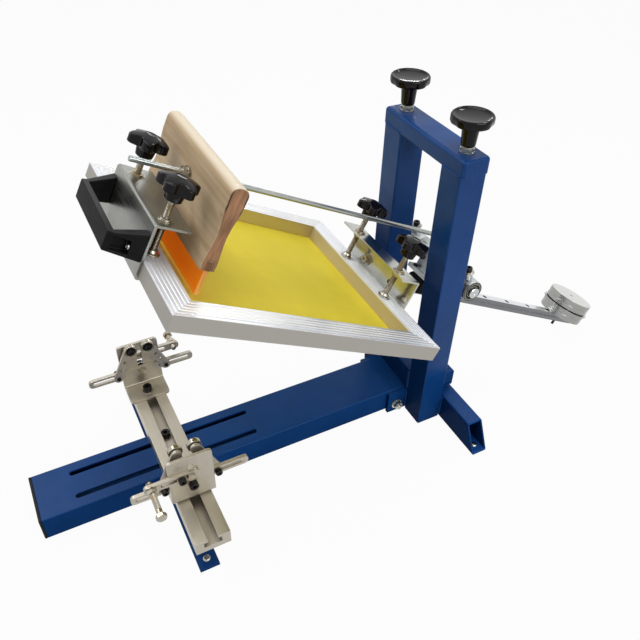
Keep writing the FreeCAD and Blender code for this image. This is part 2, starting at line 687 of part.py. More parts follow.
def rear_clamp():
    sheet = bent_clamp(SCREEN_REAR, 1, REAR_CLAMP_HALF_X, REAR_CLAMP_FLANGE + SHEET_T)
    sheet = cut_screw_holes(sheet, REAR_KNOB_S)
    for side in (-1, 1):
        start = (side * REAR_CLAMP_HOLE_X, SCREEN_REAR - 1, REAR_CLAMP_HOLE_H)
        sheet = sheet.cut(rod(start, (0, 1, 0), REAR_CLAMP_HOLE_R, 2 * SHEET_T))
    return lifted(sheet)


def front_clamp():
    sheet = bent_clamp(SCREEN_FRONT, -1, FRONT_CLAMP_HALF_X, FRONT_CLAMP_FLANGE)
    return lifted(cut_screw_holes(sheet, FRONT_KNOB_S))


def clamp_knob(side, s):
    """A star knob moulded on its clamping screw, with the pad that presses on the screen bar."""
    pad_low = SCREEN_TOP + CLAMP_PAD_GAP
    star_low = STAR_TOP - STAR_T
    hub_low = star_low - STAR_HUB_H
    star = rod((0, 0, star_low), (0, 0, 1), STAR_CORE_R, STAR_T)
    lobes = []
    for i in range(STAR_LOBES):
        angle = 2 * math.pi * i / STAR_LOBES
        reach = STAR_R - STAR_LOBE_R
        lobes.append(rod((reach * math.cos(angle), reach * math.sin(angle), star_low), (0, 0, 1),
                         STAR_LOBE_R, STAR_T))
    star = star.fuse(lobes).removeSplitter()
    pieces = [rod((0, 0, hub_low), (0, 0, 1), STAR_HUB_R, STAR_HUB_H),
              rod((0, 0, pad_low), (0, 0, 1), CLAMP_SCREW_R, hub_low - pad_low),
              rod((0, 0, pad_low), (0, 0, 1), CLAMP_PAD_R, CLAMP_PAD_T)]
    whole = star.fuse(pieces)
    whole.translate(FreeCAD.Vector(side * CLAMP_KNOB_X, s, 0))
    return lifted(whole)


def screen_bar(name):
    """One mitred tube of the screen frame, hollow and grooved along its top."""
    half_w = SCREEN_W / 2
    inner_w = half_w - SCREEN_BAR_W
    front_in = SCREEN_FRONT + SCREEN_BAR_W
    rear_in = SCREEN_REAR - SCREEN_BAR_W
    outlines = {
        "front": [(-half_w, SCREEN_FRONT), (half_w, SCREEN_FRONT), (inner_w, front_in), (-inner_w, front_in)],
        "rear": [(-half_w, SCREEN_REAR), (half_w, SCREEN_REAR), (inner_w, rear_in), (-inner_w, rear_in)],
        "right": [(half_w, SCREEN_FRONT), (half_w, SCREEN_REAR), (inner_w, rear_in), (inner_w, front_in)],
        "left": [(-half_w, SCREEN_FRONT), (-half_w, SCREEN_REAR), (-inner_w, rear_in), (-inner_w, front_in)],
    }
    corners = outlines[name]
    bar = prism([(x, y, SCREEN_BOTTOM) for x, y in corners], (0, 0, SCREEN_BAR_H))
    low = [min(c[i] for c in corners) for i in range(2)]
    high = [max(c[i] for c in corners) for i in range(2)]
    along_x = name in ("front", "rear")
    across = 1 if along_x else 0
    wall = SCREEN_BAR_WALL
    hollow_low = list(low)
    hollow_high = list(high)
    hollow_low[across] += wall
    hollow_high[across] -= wall
    bar = bar.cut(box(hollow_low[0], hollow_high[0], hollow_low[1], hollow_high[1],
                      SCREEN_BOTTOM + wall, SCREEN_TOP - wall))
    for i in range(SCREEN_GROOVES):
        middle = low[across] + SCREEN_BAR_W * (i + 1) / (SCREEN_GROOVES + 1)
        groove_low = list(low)
        groove_high = list(high)
        groove_low[across] = middle - SCREEN_GROOVE_W / 2
        groove_high[across] = middle + SCREEN_GROOVE_W / 2
        bar = bar.cut(box(groove_low[0], groove_high[0], groove_low[1], groove_high[1],
                          SCREEN_TOP - SCREEN_GROOVE_D, SCREEN_TOP + 1))
    return bar


def screen_bars(names):
    return lifted(Part.makeCompound([screen_bar(name) for name in names]))


def screen_mesh():
    half_w = SCREEN_W / 2 - MESH_INSET
    return lifted(box(-half_w, half_w, SCREEN_FRONT + MESH_INSET, SCREEN_REAR - MESH_INSET,
                      MESH_BOTTOM, SCREEN_BOTTOM))


def pull_handle():
    """A bent plastic bow, deeper at its two feet, with a pocket for a screw in each foot."""
    face = SCREEN_FRONT - SHEET_T
    tip = face - HANDLE_DEPTH
    grip_in = tip + HANDLE_GRIP_T
    base_in = HANDLE_BASE_HALF_X - HANDLE_BASE_T
    end_in = HANDLE_GRIP_HALF_X - HANDLE_LEG_END_T
    base_top = HANDLE_LOW + HANDLE_BASE_H
    grip_top = HANDLE_LOW + HANDLE_GRIP_H
    half = HANDLE_BASE_HALF_X
    side = [(-half, face, HANDLE_LOW), (-half, face, base_top), (-half, grip_in, grip_top),
            (-half, tip, grip_top), (-half, tip, HANDLE_LOW)]
    whole = prism(side, (2 * half, 0, 0))
    outer = [(-half, face), (-HANDLE_GRIP_HALF_X, tip), (HANDLE_GRIP_HALF_X, tip), (half, face)]
    inner = [(-base_in, face), (-end_in, grip_in), (end_in, grip_in), (base_in, face)]
    whole = whole.common(prism([(x, y, HANDLE_LOW) for x, y in outer], (0, 0, HANDLE_BASE_H)))
    whole = whole.cut(prism([(x, y, HANDLE_LOW) for x, y in inner], (0, 0, HANDLE_BASE_H)))
    pocket_in = HANDLE_GRIP_HALF_X - HANDLE_LEG_END_T + HANDLE_POCKET_WALL
    pocket = box(pocket_in, half, grip_in, face - HANDLE_POCKET_TO_CLAMP,
                 HANDLE_LOW + HANDLE_POCKET_WALL, grip_top - HANDLE_POCKET_WALL)
    return lifted(whole.cut([pocket, mirrored(pocket)]))


def counterweight(level):
    """A turned disc with a thin rim at its foot and a groove round its side."""
    low = RAIL_TOP + level * WEIGHT_T
    disc = rod((0, WEIGHT_S, low), (0, 0, 1), WEIGHT_R, WEIGHT_T)
    rim_low = low + (WEIGHT_T - WEIGHT_RIM_T) * (1 - level)
    disc = disc.fuse(rod((0, WEIGHT_S, rim_low), (0, 0, 1), WEIGHT_RIM_R - 3 * level, WEIGHT_RIM_T))
    middle = low + WEIGHT_T / 2
    ring = rod((0, WEIGHT_S, middle - WEIGHT_GROOVE_W / 2), (0, 0, 1), WEIGHT_RIM_R + 1, WEIGHT_GROOVE_W)
    ring = ring.cut(rod((0, WEIGHT_S, middle - WEIGHT_GROOVE_W), (0, 0, 1),
                        WEIGHT_R - WEIGHT_GROOVE_D, 2 * WEIGHT_GROOVE_W))
    disc = disc.cut(ring)
    disc = disc.cut(rod((0, WEIGHT_S, low - 1), (0, 0, 1), WEIGHT_BOLT_R, WEIGHT_T + 2))
    return lifted(disc.removeSplitter())


# Rail with two roller stands
def stand_rail():
    half_x = STAND_RAIL_LENGTH / 2
    half_y = STAND_RAIL_W / 2
    y = STAND_RAIL_Y
    top = STAND_RAIL_TOP
    rail = box(-half_x, half_x, y - half_y, y + half_y, BEAM_TOP, top)
    slot = box(-half_x, half_x, y - STAND_SLOT_W / 2, y + STAND_SLOT_W / 2, top - STAND_LIP_T, top)
    cavity = box(-half_x, half_x, y - STAND_CAVITY_W / 2, y + STAND_CAVITY_W / 2,
                 top - STAND_LIP_T - STAND_CAVITY_H, top - STAND_LIP_T)
    return rail.cut(slot).cut(cavity)


def place_stand(shape, side):
    """Sets a shape drawn for the right stand, or turns it half round for the left one."""
    out = shape.copy()
    from_end = RIGHT_STAND_FROM_RAIL_END if side > 0 else LEFT_STAND_FROM_RAIL_END
    out.translate(FreeCAD.Vector(STAND_RAIL_LENGTH / 2 - from_end, 0, 0))
    if side < 0:
        out.rotate(FreeCAD.Vector(0, 0, 0), FreeCAD.Vector(0, 0, 1), 180)
    out.translate(FreeCAD.Vector(0, STAND_RAIL_Y, STAND_RAIL_TOP))
    return out


def stand_bracket():
    half = STAND_W / 2
    plate = box(-STAND_SHEET, 0, -half, half, 0, STAND_H)
    plate = round_edges(plate, STAND_CORNER_R,
                        lambda edge: runs_along(edge, 0) and edge.CenterOfMass.z > STAND_H - 1)
    foot = box(-STAND_FOOT, 0, -half, half, 0, STAND_SHEET)
    foot = round_edges(foot, STAND_CORNER_R,
                       lambda edge: runs_along(edge, 2) and edge.CenterOfMass.x < 1 - STAND_FOOT)
    whole = plate.fuse(foot).removeSplitter()
    middle = (STAND_SLOT_LOW + STAND_SLOT_HIGH) / 2
    reach = (STAND_SLOT_HIGH - STAND_SLOT_LOW) / 2
    slot = slot_cutter((0, 0, middle), STAND_SLOT_HALF, reach, 2, 0, 4 * STAND_SHEET)
    bolt = rod(((STAND_SHEET - STAND_FOOT) / 2 - STAND_SHEET, 0, -1), (0, 0, 1), STAND_BOLT_R,
               STAND_SHEET + 2)
    return whole.cut(slot).cut(bolt)


def slotted_bar():
    back = -STAND_SHEET
    bar = box(back - BAR_T, back, -BAR_HALF_LENGTH, BAR_HALF_LENGTH, BAR_Z - BAR_H / 2, BAR_Z + BAR_H / 2)
    bar = round_edges(bar, BAR_H / 2 - 0.5, lambda edge: runs_along(edge, 0))
    outer = BAR_HALF_LENGTH - BAR_SLOT_END
    for side in (-1, 1):
        centre = (back - BAR_T / 2, side * (outer + BAR_SLOT_INNER) / 2, BAR_Z)
        reach = (outer - BAR_SLOT_INNER) / 2
        bar = bar.cut(slot_cutter(centre, BAR_SLOT_HALF, reach, 1, 0, 2 * BAR_T))
    return bar


def arm_face():
    """Side of the arms away from the plate, where the rollers run."""
    return -STAND_SHEET - BAR_T - ARM_T


def roller_arm(side):
    """A slanted plate bolted to the slotted bar, with the axle of one roller at its head."""
    low = (side * ARM_LOW_Y, BAR_Z)
    high = (side * ROLLER_Y, ROLLER_Z)
    x = arm_face()
    run = math.hypot(high[0] - low[0], high[1] - low[1])
    along = ((high[0] - low[0]) / run, (high[1] - low[1]) / run)
    across = (-along[1] * ARM_HALF_W, along[0] * ARM_HALF_W)
    corners = [(x, low[0] - across[0], low[1] - across[1]), (x, high[0] - across[0], high[1] - across[1]),
               (x, high[0] + across[0], high[1] + across[1]), (x, low[0] + across[0], low[1] + across[1])]
    plate = prism(corners, (ARM_T, 0, 0))
    for y, z in (low, high):
        plate = plate.fuse(rod((x, y, z), (1, 0, 0), ARM_HALF_W, ARM_T))
    for share in (0.3, 0.55):
        y = low[0] + (high[0] - low[0]) * share
        z = low[1] + (high[1] - low[1]) * share
        plate = plate.cut(rod((x - 1, y, z), (1, 0, 0), ARM_HOLE_R, ARM_T + 2))
    reach = ROLLER_SIDE_GAP + ROLLER_W + ROLLER_SIDE_GAP
    axle = rod((x, high[0], high[1]), (-1, 0, 0), ROLLER_AXLE_R, reach)
    head = rod((x - reach, high[0], high[1]), (-1, 0, 0), AXLE_HEAD_R, AXLE_HEAD_T)
    return plate.fuse([axle, head])


def roller(side):
    x = arm_face() - ROLLER_SIDE_GAP
    ring = rod((x, side * ROLLER_Y, ROLLER_Z), (-1, 0, 0), ROLLER_R, ROLLER_W)
    ring = ring.makeChamfer(0.5, [e for e in ring.Edges if len(e.Vertexes) == 1])
    return ring.cut(rod((x + 1, side * ROLLER_Y, ROLLER_Z), (-1, 0, 0), ROLLER_BORE_R, ROLLER_W + 2))


def stop_bar():
    """A slotted bar outside the plate, whose bolt stops the cylinder's end."""
    bar = box(0, BAR_T, -STOP_BAR_OUTER, STOP_BAR_INNER, STOP_Z - STOP_BAR_H / 2, STOP_Z + STOP_BAR_H / 2)
    bar = round_edges(bar, STOP_BAR_H / 2 - 0.5, lambda edge: runs_along(edge, 0))
    reach = (STOP_BOLT_Y - 2 * STOP_BOLT_R - 2) / 2
    bar = bar.cut(slot_cutter((BAR_T / 2, 2 - reach, STOP_Z), BAR_SLOT_HALF, reach, 1, 0, 2 * BAR_T))
    bolt = rod((-STOP_BOLT_IN, -STOP_BOLT_Y, STOP_Z), (1, 0, 0), STOP_BOLT_R, STOP_BOLT_IN + STOP_BOLT_OUT)
    head = hexagon_bar((STOP_BOLT_OUT, -STOP_BOLT_Y, STOP_Z), (1, 0, 0), STOP_HEAD_R, STOP_HEAD_T)
    nut = hexagon_bar((BAR_T, -STOP_BOLT_Y, STOP_Z), (1, 0, 0), STOP_HEAD_R, STOP_NUT_T)
    return bar.fuse([bolt, head, nut])


def main():
    os.makedirs("parts", exist_ok=True)
    save("main_beam", main_beam())
    save("beam_end_cap", beam_end_cap())
    save("front_foot", front_foot())
    save("rear_foot", rear_foot())
    save("right_post", right_post())
    save("left_post", mirrored(right_post()))
    save("top_beam", top_beam())
    save("crossbars", crossbars())
    save("screw_bushings", screw_bushings())
    save("right_shaft_housing", right_housing())
    save("left_shaft_housing", mirrored(right_housing()))
    save("pivot_shaft", pivot_shaft())
    save("pivot_block", pivot_block())
    save("slide_block", slide_block())
    save("slide_block_caps", slide_block_caps())
    save("squeegee_rod", squeegee_rod())
    save("squeegee_handle", squeegee_handle())
    save("squeegee_blade", squeegee_blade())
    save("slide_rail", slide_rail())
    save("rail_mount", rail_mount())
    save("rear_clamp", rear_clamp())
    save("front_clamp", front_clamp())
    save("screen_end_bars", screen_bars(("front", "rear")))
    save("screen_side_bars", screen_bars(("left", "right")))
    save("screen_mesh", screen_mesh())
    save("pull_handle", pull_handle())
    save("lower_counterweight", counterweight(0))
    save("upper_counterweight", counterweight(1))
    save("stand_rail", stand_rail())
    for hand, side in (("right", 1), ("left", -1)):
        save(hand + "_height_knob", height_knob(side))
        save("front_" + hand + "_clamp_knob", clamp_knob(side, FRONT_KNOB_S))
        save("rear_" + hand + "_clamp_knob", clamp_knob(side, REAR_KNOB_S))
        save(hand + "_stand_bracket", place_stand(stand_bracket(), side))
        bars = Part.makeCompound([slotted_bar(), stop_bar()])
        save(hand + "_stand_bars", place_stand(bars, side))
        arms = Part.makeCompound([roller_arm(-1), roller_arm(1)])
        save(hand + "_roller_arms", place_stand(arms, side))
        save(hand + "_front_roller", place_stand(roller(-side), side))
        save(hand + "_rear_roller", place_stand(roller(side), side))


main()
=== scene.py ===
import json
import math

import bmesh
import bpy
from bpy.props import FloatProperty, FloatVectorProperty, IntProperty, PointerProperty
from mathutils import Matrix, Vector
from mathutils.geometry import tessellate_polygon

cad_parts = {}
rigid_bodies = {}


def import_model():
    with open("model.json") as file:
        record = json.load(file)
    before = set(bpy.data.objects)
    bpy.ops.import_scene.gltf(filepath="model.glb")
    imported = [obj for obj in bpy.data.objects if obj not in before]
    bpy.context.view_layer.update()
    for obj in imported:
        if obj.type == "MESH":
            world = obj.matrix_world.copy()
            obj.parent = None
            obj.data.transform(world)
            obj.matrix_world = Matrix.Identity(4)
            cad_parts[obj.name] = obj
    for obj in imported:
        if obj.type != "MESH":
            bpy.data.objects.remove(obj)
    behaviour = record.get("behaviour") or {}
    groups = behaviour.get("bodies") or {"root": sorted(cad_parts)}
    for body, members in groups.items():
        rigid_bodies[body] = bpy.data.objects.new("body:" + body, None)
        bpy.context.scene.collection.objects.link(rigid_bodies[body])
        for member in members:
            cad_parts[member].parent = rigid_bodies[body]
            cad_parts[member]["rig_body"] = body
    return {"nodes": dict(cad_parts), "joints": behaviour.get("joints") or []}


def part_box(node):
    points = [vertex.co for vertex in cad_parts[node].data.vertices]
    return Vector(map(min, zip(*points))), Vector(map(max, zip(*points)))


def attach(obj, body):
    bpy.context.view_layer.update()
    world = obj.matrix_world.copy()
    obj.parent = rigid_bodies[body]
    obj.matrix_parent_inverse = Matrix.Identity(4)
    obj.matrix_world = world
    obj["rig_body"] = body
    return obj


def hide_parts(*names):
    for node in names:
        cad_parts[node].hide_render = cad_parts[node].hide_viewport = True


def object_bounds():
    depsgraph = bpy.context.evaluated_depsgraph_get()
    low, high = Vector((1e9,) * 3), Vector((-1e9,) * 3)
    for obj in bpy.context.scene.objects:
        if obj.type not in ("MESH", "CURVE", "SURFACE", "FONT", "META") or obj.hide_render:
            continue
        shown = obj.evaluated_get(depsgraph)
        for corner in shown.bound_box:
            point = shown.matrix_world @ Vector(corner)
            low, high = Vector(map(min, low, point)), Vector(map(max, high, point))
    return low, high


bl_info = {
    "name": "Cylindrical screen printer",
    "version": (1, 0, 0),
    "blender": (4, 5, 0),
    "location": "View3D > Sidebar > Screen printer",
    "description": "Gives the packed screen printing machine its finishes, fasteners and moulded pieces",
    "category": "Object",
}

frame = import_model()
CAD_BOX = [list(corner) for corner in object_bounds()]
JOINTS = {joint["name"]: joint for joint in frame["joints"]}
MM = 0.001
UP = (0, 0, 1)
SIDES = (-1, 1)
WHITE = (1, 1, 1)


# Properties
def from_srgb(*seen):
    """A colour as it is seen, 0 to 255, turned into Blender's linear values."""
    shares = [value / 255 for value in seen]
    return tuple(s / 12.92 if s <= 0.04045 else ((s + 0.055) / 1.055) ** 2.4 for s in shares)


def colour(label, note, *seen):
    return FloatVectorProperty(name=label, description=note, subtype="COLOR", size=3, min=0.0, max=1.0,
                               default=from_srgb(*seen))


def length(label, note, millimetres):
    return FloatProperty(name=label, description=note, default=millimetres * MM, min=0.0, unit="LENGTH",
                         precision=4)


def power(label, note, watts):
    return FloatProperty(name=label, description=note, default=watts, min=0.0, subtype="POWER")


# Spaces in which the pieces are drawn, in millimetres
def tilted_space():
    """Axes of the lifted screen: across, rearward down its slope, and up off its face."""
    down = -Vector(JOINTS["screen_slide"]["axis"])
    across = Vector((1, 0, 0))
    space = Matrix((across, down, across.cross(down))).transposed().to_4x4()
    space.translation = Vector(JOINTS["screen_lift"]["pos_m"])
    return space


def stand_space(hand):
    """Axes of one roller stand: outward from its plate, along the beam, and up from the stand rail."""
    low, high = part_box(hand + "_stand_bracket")
    turn, outer = (0.0, high.x) if hand == "right" else (math.pi, -low.x)
    foot = Matrix.Translation((0, (low.y + high.y) / 2, low.z))
    return foot @ Matrix.Rotation(turn, 4, "Z") @ Matrix.Translation((outer, 0, 0))


ROW = Matrix.Identity(4)
TILTED = tilted_space()
TILT = math.atan2(JOINTS["screen_slide"]["axis"][2], -JOINTS["screen_slide"]["axis"][1])
OFF_SCREEN = (0, math.sin(TILT), math.cos(TILT))
TO_X = Matrix(((0, 0, 1, 0), (1, 0, 0, 0), (0, 1, 0, 0), (0, 0, 0, 1)))


def extent(node, space=ROW):
    """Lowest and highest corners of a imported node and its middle, in millimetres along a space's axes."""
    back = space.inverted()
    corners = [back @ vertex.co for vertex in frame["nodes"][node].data.vertices]
    low = Vector([min(c[i] for c in corners) for i in range(3)]) / MM
    high = Vector([max(c[i] for c in corners) for i in range(3)]) / MM
    return low, high, (low + high) / 2


# Outlines, drawn anticlockwise
def rectangle(x0, x1, y0, y1):
    return [Vector(p) for p in ((x0, y0), (x1, y0), (x1, y1), (x0, y1))]


def arc(middle, radius, first, sweep, steps):
    angles = [first + sweep * i / steps for i in range(steps + 1)]
    return [Vector(middle) + radius * Vector((math.cos(a), math.sin(a))) for a in angles]


def circle(x, y, radius, sides=32):
    return arc((x, y), radius, 0, 2 * math.pi, sides)[:-1]


def long_hole(start, end, radius, steps=10):
    """The outline of a slot with round ends, from the middle of one end to the middle of the other."""
    start, end = Vector(start), Vector(end)
    heading = math.atan2(end.y - start.y, end.x - start.x)
    return (arc(end, radius, heading - math.pi / 2, math.pi, steps)
            + arc(start, radius, heading + math.pi / 2, math.pi, steps))


def softened(points, radius, steps=4, closed=True):
    """Rounds the corners of an outline or profile. The radius may be a list, one for each corner."""
    out = []
    for i, point in enumerate(points):
        here = Vector(point)
        wanted = radius[i] if isinstance(radius, list) else radius
        if wanted <= 0 or (not closed and i in (0, len(points) - 1)):
            out.append(here)
            continue
        before = Vector(points[i - 1]) - here
        after = Vector(points[(i + 1) % len(points)]) - here
        reach = min(wanted, 0.49 * before.length, 0.49 * after.length)
        start = here + before.normalized() * reach
        end = here + after.normalized() * reach
        for k in range(steps + 1):
            t = k / steps
            out.append((1 - t) ** 2 * start + 2 * t * (1 - t) * here + t * t * end)
    return out


def moved_in(loop, distance):
    """An outline moved towards its left hand side."""
    out = []
    for i, here in enumerate(loop):
        first = (here - loop[i - 1]).normalized()
        second = (loop[(i + 1) % len(loop)] - here).normalized()
        normal = Vector((-first.y - second.y, first.x + second.x)) / (1 + first.dot(second))
        out.append(here + distance * normal)
    return out


# Solid shapes
def skin(bm, rings):
    """Joins each ring of points to the next one. A ring of a single point is a tip."""
    for lower, upper in zip(rings, rings[1:]):
        count = max(len(lower), len(upper))
        for i in range(count):
            j = (i + 1) % count
            corners = dict.fromkeys((lower[i % len(lower)], lower[j % len(lower)],
                                     upper[j % len(upper)], upper[i % len(upper)]))
            if len(corners) > 2:
                bm.faces.new(list(corners))


def plate(outline, low, high, holes=(), foot=0.3, top=0.3, steps=2):
    """Pushes an outline with holes up from low to high, and breaks its lower and upper edges."""
    bm = bmesh.new()
    levels = []
    for rounding, height, way in ((foot, low, 1), (top, high, -1)):
        turns = [math.pi / 2 * i / steps for i in range(steps + 1)] if rounding > 0 else [math.pi / 2]
        part = [(rounding * (1 - math.sin(a)), height + way * rounding * (1 - math.cos(a))) for a in turns]
        levels += part[::way]
    stacks = []
    for loop in [list(outline)] + [list(reversed(hole)) for hole in holes]:
        stacks.append([[bm.verts.new((p.x, p.y, z)) for p in moved_in(loop, inset)] for inset, z in levels])
        skin(bm, stacks[-1])
    for level in (0, -1):
        rings = [stack[level] for stack in stacks]
        if len(rings) == 1:
            bm.faces.new(rings[0])
            continue
        verts = [vert for ring in rings for vert in ring]
        for triangle in tessellate_polygon([[vert.co for vert in ring] for ring in rings]):
            bm.faces.new([verts[i] for i in triangle])
    return bm


def spun(rings, bored=False):
    """Skins rings of (radius, height) about the Z axis, with closed ends unless it is bored."""
    bm = bmesh.new()
    loops = []
    for ring in rings:
        turn = 2 * math.pi / len(ring)
        points = ring[:1] if ring[0][0] < 1e-6 else ring
        loops.append([bm.verts.new((reach * math.cos(turn * i), reach * math.sin(turn * i), height))
                      for i, (reach, height) in enumerate(points)])
    skin(bm, loops + loops[:1] if bored else loops)
    ends = () if bored else (loops[0], loops[-1])
    for loop in ends:
        if len(loop) > 1:
            bm.faces.new(loop)
    return bm


def hollows(lobes, sharpness, sides):
    """How deep the outline of a knob lies at each angle, 0 on a lobe and 1 between two."""
    return [((1 - math.cos(lobes * 2 * math.pi * i / sides)) / 2) ** sharpness for i in range(sides)]


def lathe(profile, sides=48, lobes=0, depth=0.0, sharpness=1.0, bored=False):
    """Turns a profile of (radius, height) about the Z axis.

    A third value tells how much of the lobes' depth is cut into the outline there."""
    valleys = hollows(lobes, sharpness, sides)
    rings = []
    for radius, height, *share in profile:
        cut = depth * share[0] if share else 0.0
        rings.append([(radius - cut * valley, height) for valley in valleys])
    return spun(rings, bored)


def star_head(reach, valley, lobes, low, high, drop, hub, sides=160):
    """A star knob's head: broad lobes with upright sides, a flat underside and a domed top."""
    hub_levels = [(0.0, low - hub, 0), (8.6, low - hub, 0), (9.8, low - hub + 0.9, 0.15),
                  (10.6, low - hub + 5, 0.25), (11.4, low - 1.4, 0.35), (12.6, low - 0.2, 0.45)]
    edge_levels = [(0.8, low), (0.965, low + 0.1), (1.0, low + 0.9)]
    dome_levels = [(1.0, high - 1.3), (0.992, high - 0.75), (0.97, high - 0.3), (0.93, high - 0.05),
                   (0.84, high), (0.7, high), (0.52, high)]
    dimple_levels = [(6.4, high), (6.0, high - 0.5), (5.2, high - 0.9), (0.0, high - 1.0)]
    cuts = hollows(lobes, 1.15, sides)
    outline = [reach - valley * cut for cut in cuts]
    rings = [[(size - 0.3 * share * valley * cut, height) for cut in cuts] for size, height, share in hub_levels]
    rings += [[(size * radius, height) for radius in outline] for size, height in edge_levels]
    rings += [[(size * radius, height - drop * (size * radius / reach) ** 2) for radius in outline]
              for size, height in dome_levels]
    rings += [[(size, height)] * sides for size, height in dimple_levels]
    return spun(rings)


def round_profile(points, radius, steps=3):
    return softened(points, radius, steps, closed=False)


def disc(radius, low, high, rounding=0.4, bore=0.0, sides=40):
    """A turned disc or ring with rounded edges."""
    corners = [(bore, low), (radius, low), (radius, high), (bore, high)]
    return lathe(softened(corners, rounding, 2, bore > 0), sides, bored=bore > 0)


def hexagon_head(radius, low, high, bore=0.0, sides=48):
    """A nut or a bolt's head: six flats whose corners are turned off at both ends."""
    flat = radius * math.cos(math.pi / 6)
    inner = 0.96 * flat
    angles = [2 * math.pi * i / sides + math.pi / 6 for i in range(sides)]
    reaches = [flat / math.cos(math.fmod(angle, math.pi / 3) - math.pi / 6) for angle in angles]
    rings = [[(inner, low)] * sides, [(reach, low + 0.5 * (reach - inner)) for reach in reaches],
             [(reach, high - 0.5 * (reach - inner)) for reach in reaches], [(inner, high)] * sides]
    if bore > 0:
        rings += [[(bore, high)] * sides, [(bore, low)] * sides]
    return spun(rings, bore > 0)


def socket_head(at, radius, low, high, axis=UP, key=0.5, rounding=0.5):
    """A cap screw's head with its six-sided socket, as two shapes on each other."""
    floor = low + 0.4 * (high - low)
    edge = circle(0, 0, radius)
    return [put(plate(edge, floor, high, [circle(0, 0, key * radius, 6)], 0.0, rounding), at, axis),
            put(plate(edge, low, floor, (), rounding / 2, 0.0), at, axis)]


def thread(radius, low, high, pitch, sides=20):
    """A screw thread: one ridge that climbs round a core, from low to high."""
    bm = bmesh.new()
    core = radius - 0.6 * pitch
    turns = int((high - low) / pitch) - 1
    columns = []
    for i in range(sides):
        angle = 2 * math.pi * i / sides
        column = []
        for k in range(2 * turns + 1):
            z = low + pitch * (k / 2 + angle / (2 * math.pi))
            fade = min(1.0, (z - low) / pitch, (high - z) / pitch)
            reach = core + (radius - core) * max(0.0, fade) * (k % 2)
            column.append(bm.verts.new((reach * math.cos(angle), reach * math.sin(angle), z)))
        columns.append(column)
    for i, here in enumerate(columns):
        shift = 2 if i == sides - 1 else 0
        there = columns[(i + 1) % sides]
        for k in range(2 * turns - shift):
            bm.faces.new((here[k], there[k + shift], there[k + 1 + shift], here[k + 1]))
    bmesh.ops.holes_fill(bm, edges=[edge for edge in bm.edges if edge.is_boundary])
    return bm


def bead(start, end, radius, ripple=2.4):
    """A weld bead with its ripples, between two points."""
    start, end = Vector(start), Vector(end)
    span = (end - start).length
    steps = max(8, int(span / 0.6))
    profile = [(0.0, 0.0)]
    for i in range(1, steps):
        along = span * i / steps
        ending = min(1.0, along / radius, (span - along) / radius)
        swell = 1 + 0.14 * math.sin(2 * math.pi * along / ripple)
        profile.append((radius * swell * math.sqrt(max(0.05, ending)), along))
    profile.append((0.0, span))
    return put(lathe(profile, 10), start, end - start)


def put(bm, at=(0, 0, 0), axis=UP, turn=0.0):
    """Moves a shape that is drawn about Z so that it stands at a point and looks along an axis."""
    aim = Vector(UP).rotation_difference(Vector(axis).normalized()).to_matrix().to_4x4()
    return swapped(bm, Matrix.Translation(at) @ aim @ Matrix.Rotation(turn, 4, "Z"))


def swapped(bm, matrix=TO_X):
    bmesh.ops.transform(bm, matrix=matrix, verts=bm.verts)
    return bm


def bent_up(bm, start, radius, thickness, steps=8):
    """Bends a flat plate a right angle upward about a line across Y. The plate lies on Z 0."""
    middle = radius + thickness / 2
    bend = middle * math.pi / 2
    for i in range(steps + 1):
        bmesh.ops.bisect_plane(bm, geom=bm.verts[:] + bm.edges[:] + bm.faces[:],
                               plane_co=(0, start + bend * i / steps, 0), plane_no=(0, 1, 0))
    for vert in bm.verts:
        x, y, z = vert.co
        if y <= start:
            continue
        angle = min((y - start) / middle, math.pi / 2)
        reach = thickness + radius - z
        vert.co = (x, start + reach * math.sin(angle),
                   thickness + radius - reach * math.cos(angle) + max(0.0, y - start - bend))
    return bm


# Pieces
def flat_shapes(shapes):
    out = []
    for shape in shapes:
        out += flat_shapes(shape) if isinstance(shape, (list, tuple)) else [shape]
    return out


def show(name, bm, finish, body, stands_for):
    """Makes the object of a piece whose mesh is in place, and says what it rides on."""
    for face in bm.faces:
        face.smooth = True
    for edge in bm.edges:
        edge.smooth = edge.is_manifold and edge.calc_face_angle(0) < math.radians(32)
    mesh = bpy.data.meshes.new(name)
    bm.to_mesh(mesh)
    bm.free()
    mesh.materials.append(material(finish))
    piece = bpy.data.objects.new(name, mesh)
    bpy.context.scene.collection.objects.link(piece)
    piece.modifiers.new("even shading", "WEIGHTED_NORMAL").keep_sharp = True
    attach(piece, body)
    if stands_for:
        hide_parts(*stands_for)
    return piece


def make(name, shapes, finish, body, space=ROW, stands_for=()):
    """Joins shapes, in millimetres in a space, into one piece that rides on a body."""
    whole = bmesh.new()
    for shape in flat_shapes(shapes):
        mesh = bpy.data.meshes.new("shape")
        shape.to_mesh(mesh)
        shape.free()
        whole.from_mesh(mesh)
        bpy.data.meshes.remove(mesh)
    bmesh.ops.recalc_face_normals(whole, faces=whole.faces)
    return show(name, swapped(whole, space @ Matrix.Scale(MM, 4)), finish, body, stands_for)


def dressed(node, finish, rounding=0.4, steps=2):
    """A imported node's shape with its edges broken, shown in its place."""
    bm = bmesh.new()
    bm.from_mesh(frame["nodes"][node].data)
    bmesh.ops.remove_doubles(bm, verts=bm.verts, dist=1e-6)
    bmesh.ops.dissolve_limit(bm, angle_limit=math.radians(0.4), verts=bm.verts, edges=bm.edges)
    sharp = [e for e in bm.edges if e.is_manifold and e.calc_face_angle(0) > math.radians(38)]
    bmesh.ops.bevel(bm, geom=sharp, offset=rounding * MM, segments=steps, profile=0.5,
                    affect="EDGES", clamp_overlap=False)
    bmesh.ops.remove_doubles(bm, verts=bm.verts, dist=2e-6)
    return show(node + "_dressed", bm, finish, frame["nodes"][node]["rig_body"], (node,))


